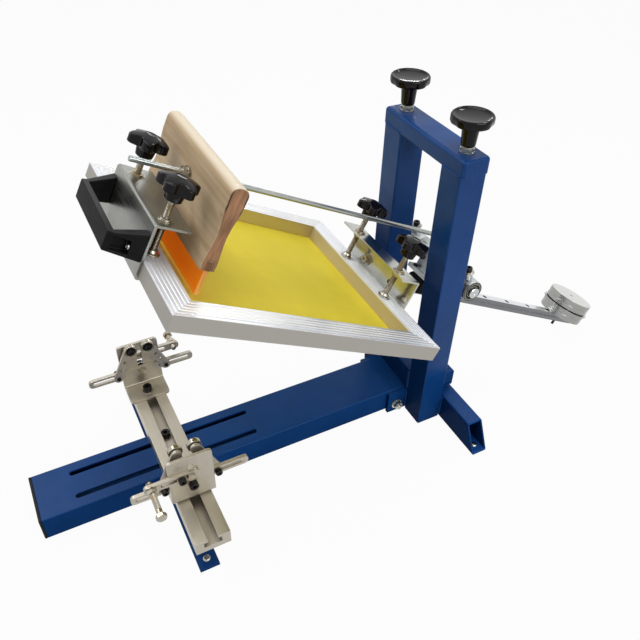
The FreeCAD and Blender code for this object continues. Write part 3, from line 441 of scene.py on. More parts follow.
# Finishes
class Nodes:
    """A node tree under construction, with its patterns measured in metres from the object's origin."""

    def __init__(self, tree):
        self.nodes, self.links = tree.nodes, tree.links

    def feed(self, socket, value):
        if isinstance(value, bpy.types.NodeSocket):
            self.links.new(value, socket)
        elif socket.type == "RGBA":
            socket.default_value = (*tuple(value)[:3], 1.0)
        else:
            socket.default_value = value

    def add(self, kind, inputs, output=0, **settings):
        node = self.nodes.new("ShaderNode" + kind)
        for key, value in settings.items():
            setattr(node, key, value)
        for key, value in inputs.items():
            self.feed(node.inputs[key], value)
        return node.outputs[output]

    def place(self, stretch=(1, 1, 1), tilted=False, shift=(0, 0, 0)):
        """Coordinates on the piece, along the tilted axes if asked, and stretched."""
        start = self.add("TexCoord", {}, "Object")
        if tilted:
            origin = JOINTS["screen_lift"]["pos_m"]
            start = self.add("Mapping", {"Vector": start, "Location": tuple(-v for v in origin)})
            start = self.add("Mapping", {"Vector": start, "Rotation": (TILT, 0, 0)})
        if any(shift):
            start = self.add("Mapping", {"Vector": start, "Location": shift})
        return self.add("Mapping", {"Vector": start, "Scale": stretch})

    def along(self, axis, tilted=True):
        """One coordinate on the piece."""
        return self.add("SeparateXYZ", {0: self.place(tilted=tilted)}, axis)

    def noise(self, vector, scale=1.0, detail=2.0, rough=0.5):
        return self.add("TexNoise", {"Vector": vector, "Scale": scale, "Detail": detail, "Roughness": rough})

    def spread(self, value, low, high, to_low=0.0, to_high=1.0):
        return self.add("MapRange", {"Value": value, "From Min": low, "From Max": high,
                                     "To Min": to_low, "To Max": to_high})

    def sums(self, kind, first, second=0.0):
        return self.add("Math", {0: first, 1: second}, operation=kind)

    def both(self, first, second):
        return self.sums("MULTIPLY", first, second)

    def apart(self, value, middle):
        """How far a coordinate lies from a middle, in metres."""
        return self.sums("ABSOLUTE", self.sums("SUBTRACT", value, middle))

    def mix(self, factor, low, high):
        return self.add("Mix", {0: factor, 6: low, 7: high}, 2, data_type="RGBA")

    def facing(self, axis, low, high):
        """How much the surface faces along an axis of the row frame, either way."""
        normal = self.add("TexCoord", {}, "Normal")
        dot = self.add("VectorMath", {0: normal, 1: axis}, "Value", operation="DOT_PRODUCT")
        return self.spread(self.sums("ABSOLUTE", dot), low, high)

    def seen_directly(self):
        """One where a camera, mirror or glass ray looks at the backdrop."""
        total = self.add("LightPath", {}, "Is Camera Ray")
        for ray in ("Is Glossy Ray", "Is Transmission Ray"):
            total = self.sums("MAXIMUM", total, self.add("LightPath", {}, ray))
        return total


class Finish(Nodes):
    """A material under construction."""

    def __init__(self, name, **sockets):
        self.material = bpy.data.materials.new(name)
        self.material.use_nodes = True
        super().__init__(self.material.node_tree)
        self.shader = self.nodes["Principled BSDF"]
        for socket, value in sockets.items():
            self.feed(self.shader.inputs[SOCKETS[socket]], value)

    def finish(self, base, rough=None, relief=None, strength=0.3, height=0.2):
        """Feeds the shader: its colour, its roughness, and a relief of a height in millimetres."""
        self.feed(self.shader.inputs["Base Color"], base)
        if rough is not None:
            self.feed(self.shader.inputs["Roughness"], rough)
        if relief is not None:
            bump = self.add("Bump", {"Height": relief, "Strength": strength, "Distance": height * MM})
            self.feed(self.shader.inputs["Normal"], bump)
        return self.material


SOCKETS = {"metallic": "Metallic", "gloss": "Specular IOR Level", "rough": "Roughness",
           "inner": "Subsurface Weight", "inner_reach": "Subsurface Radius", "inner_scale": "Subsurface Scale",
           "glow": "Emission Color", "glow_strength": "Emission Strength"}


def shade(values, share):
    return tuple(min(1.0, value * share) for value in values)


def powder_coat(name, tint):
    """Powder coat with orange peel, fine sparkle and slightly uneven depth; painted shade low on its front and
    back walls, and all walls duller low down.
    """
    out = Finish(name)
    spot = out.place()
    height = out.along(2, False)
    front = out.both(out.facing((0, 1, 0), 0.6, 0.95), out.spread(height, 0.36, 0.26))
    side = out.both(out.facing((1, 0, 0), 0.6, 0.95), out.spread(height, 0.12, 0.1))
    depth = out.spread(out.noise(spot, 9.0, 3.0), 0.35, 0.65)
    peel = out.noise(spot, 620.0, 2.0)
    sparkle = out.noise(spot, 1300.0, 1.0)
    base = out.mix(depth, shade(tint, 0.84), shade(tint, 1.12))
    base = out.mix(out.spread(sparkle, 0.58, 0.75, 0.0, 0.6), base, shade(tint, 2.6))
    rough = out.spread(out.noise(spot, 40.0, 3.0), 0.3, 0.7, 0.28, 0.42)
    # Painted shade: walls facing front or back are darkened low down, towards a quarter of the tint.
    base = out.mix(out.both(front, 0.6), base, shade(tint, 0.25))
    gloss = out.spread(out.sums("MAXIMUM", front, side), 0.0, 1.0, 0.16, 0.01)
    out.feed(out.shader.inputs["Specular IOR Level"], gloss)
    return out.finish(base, rough, out.sums("ADD", peel, out.both(sparkle, 0.35)), 0.6, 0.2)


def moulded_plastic(name, tint, rough_low, rough_high, grain, gloss, front=1.0):
    """Moulded plastic: gloss or grained, with the faint smears of use, and less sheen on its front."""
    out = Finish(name, gloss=gloss)
    if front != 1.0:
        ahead = out.facing((0, math.cos(TILT), -math.sin(TILT)), 0.6, 0.95)
        ahead = out.sums("ADD", ahead, out.both(out.facing((1, 0, 0), 0.6, 0.95), 0.6))
        out.feed(out.shader.inputs["Specular IOR Level"], out.spread(ahead, 0.0, 1.0, gloss, front * gloss))
    smear = out.noise(out.place((1, 1.6, 2.4)), 55.0, 4.0, 0.6)
    base = out.mix(out.spread(smear, 0.4, 0.75), tint, shade(tint, 1.5))
    rough = out.spread(smear, 0.35, 0.75, rough_low, rough_high)
    return out.finish(base, rough, out.noise(out.place(), 1900.0, 3.0, 0.6), grain, 0.1)


def streaked_metal(name, tint, stretch, tilted=True, rough=(0.24, 0.42), relief=0.25, tone=0.2, warm=None,
                   metallic=1.0, side=None, inner=None, below=None):
    """Metal with fine lines along one direction, patches of tone, and an optional second tint.

    A side tint of painted shade goes on what doesn't look off the screen's face, from a height down,
    and near the inner walls it turns paler and warmer, a painted reflection of the yellow mesh."""
    out = Finish(name, metallic=metallic)
    lines = out.noise(out.place(stretch, tilted), 1.0, 4.0, 0.7)
    patch = out.noise(out.place(), 28.0, 3.0)
    base = out.mix(out.spread(lines, 0.3, 0.7), shade(tint, 1 - tone), shade(tint, 1 + tone))
    if warm:
        base = out.mix(out.spread(patch, 0.42, 0.68, 0.0, 0.7), base, warm)
    # Painted shade on the faces that don't look off the screen's face, below a height if one is given.
    if side:
        aside = out.facing(OFF_SCREEN, 0.9, 0.5)
        if below:
            aside = out.both(aside, out.spread(out.along(2), below * MM, (below - 0.4) * MM))
        # Painted reflection of the yellow mesh on the inner walls: the shade tint made paler and warmer.
        if inner:
            axis, middle, reach = inner
            away = out.apart(out.along(axis), middle * MM)
            pale = tuple(value * share for value, share in zip(side, (1.5, 1.38, 0.95)))
            side = out.mix(out.spread(away, reach * MM, (reach + 1) * MM), pale, side)
        base = out.mix(aside, base, side)
    level = out.sums("ADD", out.spread(lines, 0.3, 0.7, *rough), out.spread(patch, 0.4, 0.7, 0.0, 0.08))
    return out.finish(base, level, lines, relief, 0.05)


def plated(name, tint, warm):
    """Bright zinc: cloudy patches of a second tint and fine speckle."""
    out = Finish(name, metallic=1.0)
    spot = out.place()
    cloud = out.noise(spot, 60.0, 4.0, 0.6)
    speck = out.noise(spot, 1500.0, 2.0)
    base = out.mix(out.spread(cloud, 0.4, 0.66), tint, warm)
    base = out.mix(out.spread(speck, 0.55, 0.8, 0.0, 0.5), base, shade(tint, 0.6))
    return out.finish(base, out.spread(cloud, 0.35, 0.7, 0.2, 0.36), speck, 0.2, 0.04)


def turned_metal(name, tint):
    """Turned steel: rings about the weights' own axis, lathe lines round their sides, and painted shade on those
    sides.
    """
    middle = extent("lower_counterweight", TILTED)[2].y * MM
    out = Finish(name, metallic=1.0)
    spot = out.place(tilted=True, shift=(0, -middle, 0))
    flat = out.add("VectorMath", {0: spot, 1: (1, 1, 0)}, operation="MULTIPLY")
    radius = out.add("VectorMath", {0: flat}, "Value", operation="LENGTH")
    height = out.add("SeparateXYZ", {0: spot}, 2)
    rings = out.add("CombineXYZ", {0: out.both(radius, 420.0), 1: out.both(height, 420.0)})
    lines = out.noise(rings, 1.0, 3.0, 0.6)
    stain = out.noise(out.place(), 45.0, 4.0, 0.6)
    base = out.mix(out.spread(lines, 0.3, 0.7), shade(tint, 0.9), shade(tint, 1.06))
    base = out.mix(out.spread(stain, 0.55, 0.8, 0.0, 0.35), base, shade(tint, 0.55))
    # Painted shade: the sides, which don't look off the screen's face, are darkened to half the tint.
    base = out.mix(out.facing(OFF_SCREEN, 0.6, 0.95), shade(tint, 0.5), base)
    return out.finish(base, out.spread(lines, 0.3, 0.7, 0.26, 0.32))


def wood(name, pale, dark, end_grain):
    """Pale wood whose grain runs across the machine, with brown, cracked end grain, and painted light on its
    upward faces.
    """
    out = Finish(name, gloss=0.3)
    low, high, middle = extent("squeegee_handle", TILTED)
    warp = out.noise(out.place((3, 12, 12), True), 1.0, 2.0)
    bent = out.add("VectorMath", {0: out.place((4, 150, 95), True),
                                  1: out.add("CombineXYZ", {1: warp, 2: warp})}, operation="ADD")
    grain = out.noise(bent, 1.0, 5.0, 0.62)
    pores = out.noise(out.place((60, 1500, 1500), True), 1.0, 2.0)
    face = out.mix(out.spread(grain, 0.38, 0.7), pale, dark)
    face = out.mix(out.spread(pores, 0.62, 0.8, 0.0, 0.4), face, shade(dark, 0.6))
    knots = out.add("TexVoronoi", {"Vector": out.place((9, 60, 26), True), "Scale": 1.0}, "Distance")
    face = out.mix(out.spread(knots, 0.1, 0.02, 0.0, 0.7), face, shade(end_grain, 0.7))
    up = out.along(2)
    aside = out.apart(out.along(1), middle.y * MM)
    cracks = out.noise(out.place((1, 420, 55), True), 1.0, 4.0, 0.65)
    stripes = out.noise(out.place((1, 130, 28), True), 1.0, 3.0, 0.6)
    end = out.mix(out.spread(stripes, 0.35, 0.65), end_grain, shade(end_grain, 0.52))
    # The end grain is darker towards the bottom.
    end = out.mix(out.spread(up, (low.z + 20) * MM, (low.z + 8) * MM, 0.0, 0.3), end, shade(end_grain, 0.5))
    edge = out.both(out.spread(aside, 0.0048, 0.0088), out.spread(up, (high.z - 46) * MM, (high.z - 26) * MM))
    streak = out.sums("ADD", edge, out.both(cracks, 2.2))
    end = out.mix(out.spread(streak, 1.75, 2.0), end, shade(end_grain, 0.12))
    end = out.mix(out.spread(cracks, 0.64, 0.7, 0.0, 0.8), end, shade(end_grain, 0.2))
    # The end faces are darker over the groove's mouth.
    groove_mouth = out.both(out.spread(aside, 0.0048, 0.0044),
                    out.spread(up, (low.z + 13.2) * MM, (low.z + 12.8) * MM))
    end = out.mix(out.both(groove_mouth, 0.85), end, shade(end_grain, 0.34))
    # Painted light: faces that look off the screen's face are made paler.
    face = out.mix(out.both(out.facing(OFF_SCREEN, 0.3, 0.85), 0.7), face, from_srgb(240, 230, 208))
    base = out.mix(out.facing((1, 0, 0), 0.6, 0.9), face, end)
    relief = out.sums("ADD", grain, out.both(cracks, 0.6))
    return out.finish(base, out.spread(grain, 0.3, 0.7, 0.42, 0.6), relief, 0.35, 0.25)


def rubber_blade(name, tint):
    """Cast polyurethane that lets light through, with a painted glow, and painted light that makes its lower edge
    paler.
    """
    # The emission in the blade's own tint is a painted glow.
    out = Finish(name, inner=1.0, inner_reach=(1.0, 0.5, 0.12), inner_scale=0.03, gloss=0.2,
                 glow=tint, glow_strength=0.17)
    low = extent("squeegee_blade", TILTED)[0].z
    # Painted light: the blade turns paler towards its lower edge.
    edge = out.spread(out.along(2), (low + 7) * MM, low * MM)
    cloud = out.noise(out.place((14, 60, 60), True), 1.0, 3.0)
    base = out.mix(out.spread(cloud, 0.35, 0.7), shade(tint, 0.86), shade(tint, 1.1))
    base = out.mix(out.both(edge, 0.45), base, (1.0, 0.42, 0.12))
    base = out.mix(out.facing((1, 0, 0), 0.6, 0.95), base, from_srgb(236, 172, 112))
    return out.finish(base, out.spread(cloud, 0.3, 0.7, 0.28, 0.42), cloud, 0.1, 0.2)


def woven_mesh(name, tint):
    """Fine woven screen cloth: two sets of threads, with faint haze left by washing."""
    out = Finish(name, gloss=0.08)
    thread_pitch = 0.0005
    waves = [out.sums("SINE", out.both(out.along(axis), 2 * math.pi / thread_pitch)) for axis in (0, 1)]
    weave = out.both(*[out.sums("ABSOLUTE", wave) for wave in waves])
    haze = out.noise(out.place((5, 9, 9), True), 1.0, 4.0, 0.55)
    streak = out.noise(out.place((40, 3, 3), True), 1.0, 2.0)
    base = out.mix(out.spread(haze, 0.35, 0.7), shade(tint, 0.9), shade(tint, 1.08))
    base = out.mix(out.spread(streak, 0.5, 0.8, 0.0, 0.25), base, shade(tint, 0.8))
    base = out.mix(out.both(weave, 0.12), base, shade(tint, 0.55))
    return out.finish(base, 0.5, weave, 0.12, 0.1)


def dark_oxide(name, tint):
    """Blackened screws with rubbed edges."""
    out = Finish(name, metallic=0.6)
    spot = out.place()
    rub = out.noise(spot, 260.0, 3.0)
    base = out.mix(out.spread(rub, 0.55, 0.75), tint, shade(tint, 4.0))
    return out.finish(base, out.spread(rub, 0.3, 0.7, 0.3, 0.46), out.noise(spot, 2400.0), 0.15, 0.04)


def inside(node, axis):
    """An axis of the screen, its middle, and how far out the inner walls of the bars may lie."""
    low, high, middle = extent(node, TILTED)
    return axis, middle[axis], (high[axis] - low[axis]) / 2 - 8


# Each finish: its slot, its maker, and the maker's values. A tint is a colour's name, with a share of it.
# How far below the end bars' top their painted side shade begins.
SIDE_SHADE_DEPTH = 1.8
FINISHES = {
    "powder_coat": ("blue_powder_coat", powder_coat, "powder_coat"),
    "grained_plastic": ("black_plastic", moulded_plastic, "grained_plastic", 0.3, 0.44, 0.3, 0.14, 0.15),
    "gloss_plastic": ("black_gloss", moulded_plastic, "gloss_plastic", 0.03, 0.08, 0.015, 0.18),
    # Black rubber of the bearing seals, also used as painted shade in the gap between the weights.
    "seal_rubber": ("black_plastic", moulded_plastic, "gloss_plastic*1.4", 0.45, 0.6, 0.3, 0.2),
    "zinc_rod": ("zinc_plate", streaked_metal, "zinc_blue", (900, 14, 900), True, (0.18, 0.3), 0.2, 0.14, "zinc"),
    "zinc_fastener": ("zinc_plate", plated, "zinc", "zinc_yellow"),
    "zinc_sheet": ("zinc_sheet", streaked_metal, "sheet", (12, 380, 380), True, (0.24, 0.36), 0.12, 0.1,
                   "sheet*0.8"),
    "bright_sheet": ("zinc_sheet", streaked_metal, "sheet*1.75", (12, 380, 380), True, (0.12, 0.22), 0.1, 0.1,
                     "sheet*1.3"),
    "bright_fastener": ("zinc_plate", plated, "zinc*1.25", "zinc_blue"),
    "ground_steel": ("ground_steel", streaked_metal, "steel", (1600, 30, 30), False, (0.12, 0.24), 0.12, 0.1),
    "machined_steel": ("machined_steel", streaked_metal, "steel", (700, 160, 160), False, (0.26, 0.4), 0.2, 0.12),
    # A dark steel for the painted reflection round the shaft bearings.
    "dark_steel": ("machined_steel", streaked_metal, "steel*0.2", (300, 300, 300), False, (0.26, 0.4), 0.1, 0.1),
    # The rail's sides get painted shade, about a quarter of its tint.
    "rail_steel": ("machined_steel", streaked_metal, "rail", (420, 5, 420), True, (0.2, 0.34), 0.1, 0.2, None, 1.0,
                   "rail*0.26"),
    "turned_steel": ("turned_steel", turned_metal, "weight"),
    "bearing_steel": ("machined_steel", streaked_metal, "bearing", (2200, 200, 200), False, (0.14, 0.24), 0.1,
                      0.12),
    "machined_aluminium": ("machined_aluminium", streaked_metal, "aluminium", (9, 800, 500), True, (0.28, 0.42),
                           0.2, 0.1),
    # The bars' sides get painted shade, and their inner walls a painted reflection of the mesh.
    "bar_across": ("brushed_aluminium", streaked_metal, "aluminium", (7, 600, 600), True, (0.46, 0.56), 0.06, 0.09,
                   None, 0.5, "bar_side", inside("screen_end_bars", 1),
                   extent("screen_end_bars", TILTED)[1].z - SIDE_SHADE_DEPTH),
    "bar_along": ("brushed_aluminium", streaked_metal, "aluminium*1.14", (600, 7, 600), True, (0.26, 0.38), 0.06,
                  0.07, None, 0.75, "bar_side", inside("screen_side_bars", 0)),
    "satin_rail": ("satin_aluminium", streaked_metal, "satin", (9, 520, 520), False, (0.34, 0.46), 0.18, 0.07),
    "satin_plate": ("satin_aluminium", streaked_metal, "satin", (240, 300, 30), False, (0.34, 0.48), 0.16, 0.07),
    "pale_wood": ("pale_wood", wood, "wood", "wood_grain", "wood_end"),
    "orange_blade": ("orange_rubber", rubber_blade, "blade"),
    "yellow_cloth": ("yellow_mesh", woven_mesh, "cloth"),
    "black_screw": ("black_plastic", dark_oxide, "black_screw"),
}


def material(finish):
    """The material of a finish, made the first time that a piece needs it."""
    name = finish + "_finish"
    found = bpy.data.materials.get(name)
    if found:
        return found
    colours = bpy.context.scene.printer_finishes
    values = []
    for value in FINISHES[finish][2:]:
        if isinstance(value, str):
            tint, _, share = value.partition("*")
            value = shade(getattr(colours, tint), float(share or 1))
        values.append(value)
    return FINISHES[finish][1](name, *values)


# Values that a user would change
class PrinterFinishes(bpy.types.PropertyGroup):
    powder_coat: colour("Powder coat", "Colour of the painted tubes", 18, 66, 128)
    grained_plastic: colour("Grained plastic", "Pull handle and end caps", 25, 25, 26)
    gloss_plastic: colour("Gloss plastic", "Knobs", 13, 10, 10)
    zinc: colour("Zinc", "Screws, nuts and washers", 178, 174, 165)
    zinc_blue: colour("Blue zinc", "Plating of the rod", 158, 164, 162)
    zinc_yellow: colour("Yellow zinc", "Warm tint on screws and washers", 166, 152, 122)
    sheet: colour("Clamp sheet", "Zinc coated sheet of the screen clamps", 148, 149, 143)
    steel: colour("Steel", "Shaft, housings and pivot block", 190, 194, 194)
    rail: colour("Slide rail", "Ground rail of the linear slide", 222, 223, 227)
    weight: colour("Counterweights", "Turned steel discs", 214, 215, 210)
    bearing: colour("Bearings", "Rings of the four rollers", 170, 165, 152)
    aluminium: colour("Aluminium", "Screen bars and rail mount", 229, 231, 235)
    # Painted shade of the bar sides; made paler and warmer, it is also the painted reflection of the mesh.
    bar_side: colour("Bar sides", "Sides of the screen bars", 168, 164, 157)
    satin: colour("Satin aluminium", "Stand rail and stands", 181, 175, 163)
    wood: colour("Wood", "Squeegee handle between the grain lines", 208, 184, 148)
    wood_grain: colour("Wood grain", "Grain lines of the squeegee handle", 176, 146, 110)
    wood_end: colour("End grain", "Brown end faces of the squeegee handle", 186, 138, 102)
    blade: colour("Blade", "Squeegee blade", 255, 140, 30)
    cloth: colour("Screen cloth", "Woven mesh of the screen", 232, 213, 66)
    black_screw: colour("Black screws", "Blackened socket screws", 28, 27, 27)


class PrinterSizes(bpy.types.PropertyGroup):
    edge: length("Broken edge", "Radius on the edges of cut and sawn pieces", 0.4)
    weld: length("Weld bead", "Radius of the weld beads", 2.2)
    washer_t: length("Washer thickness", "Thickness of the larger washers", 1.6)
    clamp_pitch: length("Clamp screw pitch", "Thread pitch of the clamping screws", 1.25)
    height_pitch: length("Height screw pitch", "Thread pitch of the two height screws", 1.5)
    star_dome: length("Star knob dome", "Drop of the star knobs from middle to lobe", 5.6)
    star_valley: length("Star knob valley", "Depth of the hollows between lobes", 7.6)
    star_lobes: IntProperty(name="Lobes", description="Lobes round each star knob", default=5, min=3, max=8)
    rim_valley: length("Height knob flutes", "Depth of the flutes round the height knobs", 1.6)


class PrinterStage(bpy.types.PropertyGroup):
    camera_place: FloatVectorProperty(
        name="Camera", description="Where the camera stands", subtype="TRANSLATION", unit="LENGTH",
        default=(0.65296, -0.54316, 0.83346))
    camera_turn: FloatVectorProperty(
        name="Camera turn", description="The camera's rotation", subtype="EULER", unit="ROTATION",
        default=tuple(math.radians(angle) for angle in (49.607, -1.357, 62.744)))
    lens: FloatProperty(name="Lens", description="Focal length on a 36 mm sensor", default=38.54, min=10.0)
    key: power("Key light", "Power of the long light on the right", 13.0)
    top: power("Top light", "Power of the broad light overhead", 19.0)
    tube: power("Tube light", "Power of the thin tube left of the operator", 6.0)
    small: power("Small light", "Power of the small light behind the posts", 2.0)
    streak: power("Streak light", "Power of the low tube left of the posts", 1.1)
    fill: power("Fill light", "Power of the light before the machine", 1.2)
    ambient: FloatProperty(name="Ambient", description="Strength of the even light of the room", default=0.2,
                           min=0.0)


def sizes():
    """The user's sizes, the lengths in millimetres."""
    group = bpy.context.scene.printer_sizes
    values = {name: getattr(group, name) / MM for name in group.__annotations__}
    values["star_lobes"] = group.star_lobes
    return values


# Bodies that the pieces ride on, and sizes that more than one operator needs, in millimetres
CARRIAGE = "screen_carriage"
ARM = "lift_arm"
HOUSINGS = "height_carriage"
POST = 40.0
ACROSS = (1, 0, 0)
INWARD = (-1, 0, 0)
FORWARD = (0, -1, 0)
KNOB_TURNS = {"front_right": 0.35, "front_left": 0.9, "rear_right": 0.1, "rear_left": 0.7}


def washer(radius, bore, at, axis, thickness):
    return put(disc(radius, 0, thickness, 0.3, bore), at, axis)


def hex_bolt_end(at, axis, radius, nut, stub, seat, pitch=1.25):
    """A nut on the end of a bolt, with a washer of the seat's thickness under it."""
    return [washer(radius * 2.3, radius, at, axis, seat),
            put(hexagon_head(radius * 1.85, seat, seat + nut), at, axis),
            put(thread(radius, seat + nut - 1, seat + nut + stub, pitch), at, axis)]


# Operators, one for each group of pieces
class PRINTER_OT_stage(bpy.types.Operator):
    """Sets the camera, the lamps and the pale floor"""
    bl_idname = "printer.stage"
    bl_label = "Stage"

    def execute(self, context):
        scene, stage = context.scene, context.scene.printer_stage
        scene.view_settings.view_transform = "Standard"
        lens = bpy.data.cameras.new("camera")
        lens.lens, lens.sensor_width = stage.lens, 36.0
        scene.camera = self.stand(scene, "camera", lens, stage.camera_place, stage.camera_turn)
        middle = Vector((0, -0.26, 0.25))
        lamps = {"key": ((1.5, 0.15, 1.2), 1.3, 0.3), "top": ((-0.2, -0.25, 2.2), 1.6, 1.6),
                 "tube": ((-0.85, -1.1, 1.6), 1.2, 0.07), "small": ((-0.5, 0.9, 1.5), 0.3, 0.1),
                 "streak": ((-1.5, 0.75, 0.75), 0.5, 0.035), "fill": ((-0.5, -1.9, 1.0), 1.3, 1.3)}
        for name, (place, width, height) in lamps.items():
            lamp = bpy.data.lights.new(name + "_lamp", "AREA")
            lamp.shape, lamp.energy = "RECTANGLE", getattr(stage, name)
            lamp.size, lamp.size_y = width, height
            aim = (middle - Vector(place)).to_track_quat("-Z", "Y").to_euler()
            self.stand(scene, lamp.name, lamp, place, aim)
        self.room(scene, stage.ambient)
        self.floor(scene)
        return {"FINISHED"}

    def stand(self, scene, name, data, place, turn=(0, 0, 0)):
        thing = bpy.data.objects.new(name, data)
        thing.location, thing.rotation_euler = place, turn
        scene.collection.objects.link(thing)
        return thing

    def room(self, scene, ambient):
        """Even light, and plain white wherever the backdrop is looked at."""
        scene.world = bpy.data.worlds.new("room")
        scene.world.use_nodes = True
        tree = Nodes(scene.world.node_tree)
        lit = tree.add("Background", {"Color": WHITE, "Strength": ambient})
        seen = tree.add("Background", {"Color": WHITE, "Strength": 1.0})
        mixed = tree.add("MixShader", {0: tree.seen_directly(), 1: lit, 2: seen})
        tree.feed(tree.nodes["World Output"].inputs["Surface"], mixed)

    def floor(self, scene):
        bm = bmesh.new()
        bmesh.ops.create_grid(bm, x_segments=1, y_segments=1, size=12.0)
        mesh = bpy.data.meshes.new("floor")
        bm.to_mesh(mesh)
        bm.free()
        pale = Finish("floor_white", rough=0.9, gloss=0.0)
        mesh.materials.append(pale.finish(pale.mix(pale.noise(pale.place(), 3.0), (0.5,) * 3, (0.56,) * 3)))
        glow = pale.add("Emission", {"Strength": 1.0})
        share = pale.both(pale.seen_directly(), 0.96)
        mixed = pale.add("MixShader", {0: share, 1: pale.shader.outputs[0], 2: glow})
        pale.feed(pale.nodes["Material Output"].inputs["Surface"], mixed)
        self.stand(scene, "floor", mesh, (0, 0, CAD_BOX[0][2]))


class PRINTER_OT_base(bpy.types.Operator):
    """Dresses the painted beam, feet and gantry, with their welds and bolts"""
    bl_idname = "printer.base"
    bl_label = "Base frame"

    def execute(self, context):
        size = sizes()
        painted = ("main_beam", "front_foot", "rear_foot", "right_post", "left_post", "crossbars", "top_beam")
        for node in painted:
            dressed(node, "powder_coat", size["edge"])
        dressed("beam_end_cap", "grained_plastic", 1.2, 3)
        self.welds(size["weld"])
        self.bar_ends()
        self.bolts(size["washer_t"])
        return {"FINISHED"}

    def welds(self, radius):
        """The beads of the right post, and the same ones on the left. The thin ones are on top."""
        low, high, _ = extent("right_post")
        inner, outer, rear, top = high.x - POST, high.x, high.y, high.z
        ear, foot, thin = low.y + 33, extent("rear_foot")[1].z, 0.7
        runs = [((inner, rear, 6), (inner, rear, foot - 2), 1), ((outer, rear, 6), (outer, rear, foot - 2), 1),
                ((inner + 3, rear, foot), (outer - 3, rear, foot), 1),
                ((inner, ear + 4, 84), (inner, rear - 4, 84), 1),
                ((inner, ear, 44.6), (inner, ear, 82), 1), ((inner, ear, 5), (inner, ear, 40), 1),
                ((inner + 2, ear, top), (outer - 2, ear, top), thin),
                ((inner + 2, rear, top), (outer - 2, rear, top), thin),
                ((outer, ear + 2, top), (outer, rear - 2, top), thin)]
        beads = [bead((side * start[0], *start[1:]), (side * end[0], *end[1:]), share * radius)
                 for side in SIDES for start, end, share in runs]
        make("weld_beads", beads, "powder_coat", "base")

    def bar_ends(self):
        """Plates that close the ends of the bar behind the posts."""
        low, high, _ = extent("crossbars")
        mouth = softened(rectangle(high.y - 22.6, high.y - 2.4, high.z - 27.6, high.z - 2.4), 1.5, 3)
        for hand, ends in (("right", (high.x - 2.5, high.x - 0.2)), ("left", (low.x + 0.2, low.x + 2.5))):
            make(hand + "_bar_end", [swapped(plate(mouth, *ends))], "powder_coat", "base")

    def bolts(self, seat):
        low, high, _ = extent("right_post")
        ends = [hex_bolt_end((side * (high.x - POST), low.y + 16, 17.0), (side, 0, 0), 4.0, 6.5, 5.0, seat)
                for side in SIDES]
        make("beam_bolts", ends, "bright_fastener", "base")
        _, high, middle = extent("front_foot")
        head = round_profile([(0, 0), (5.4, 0), (5.4, 1.0), (4.0, 2.8), (0, 3.0)], 0.7)
        screws = []
        for side in SIDES:
            for y, z in ((middle.y, high.z), (0, 2.5)):
                at = (side * 162, y, z)
                screws += [put(lathe(head), at), put(disc(3.0, 0.3 - z, 0.2, 0.2), at)]
        make("foot_screws", screws, "bright_fastener", "base")


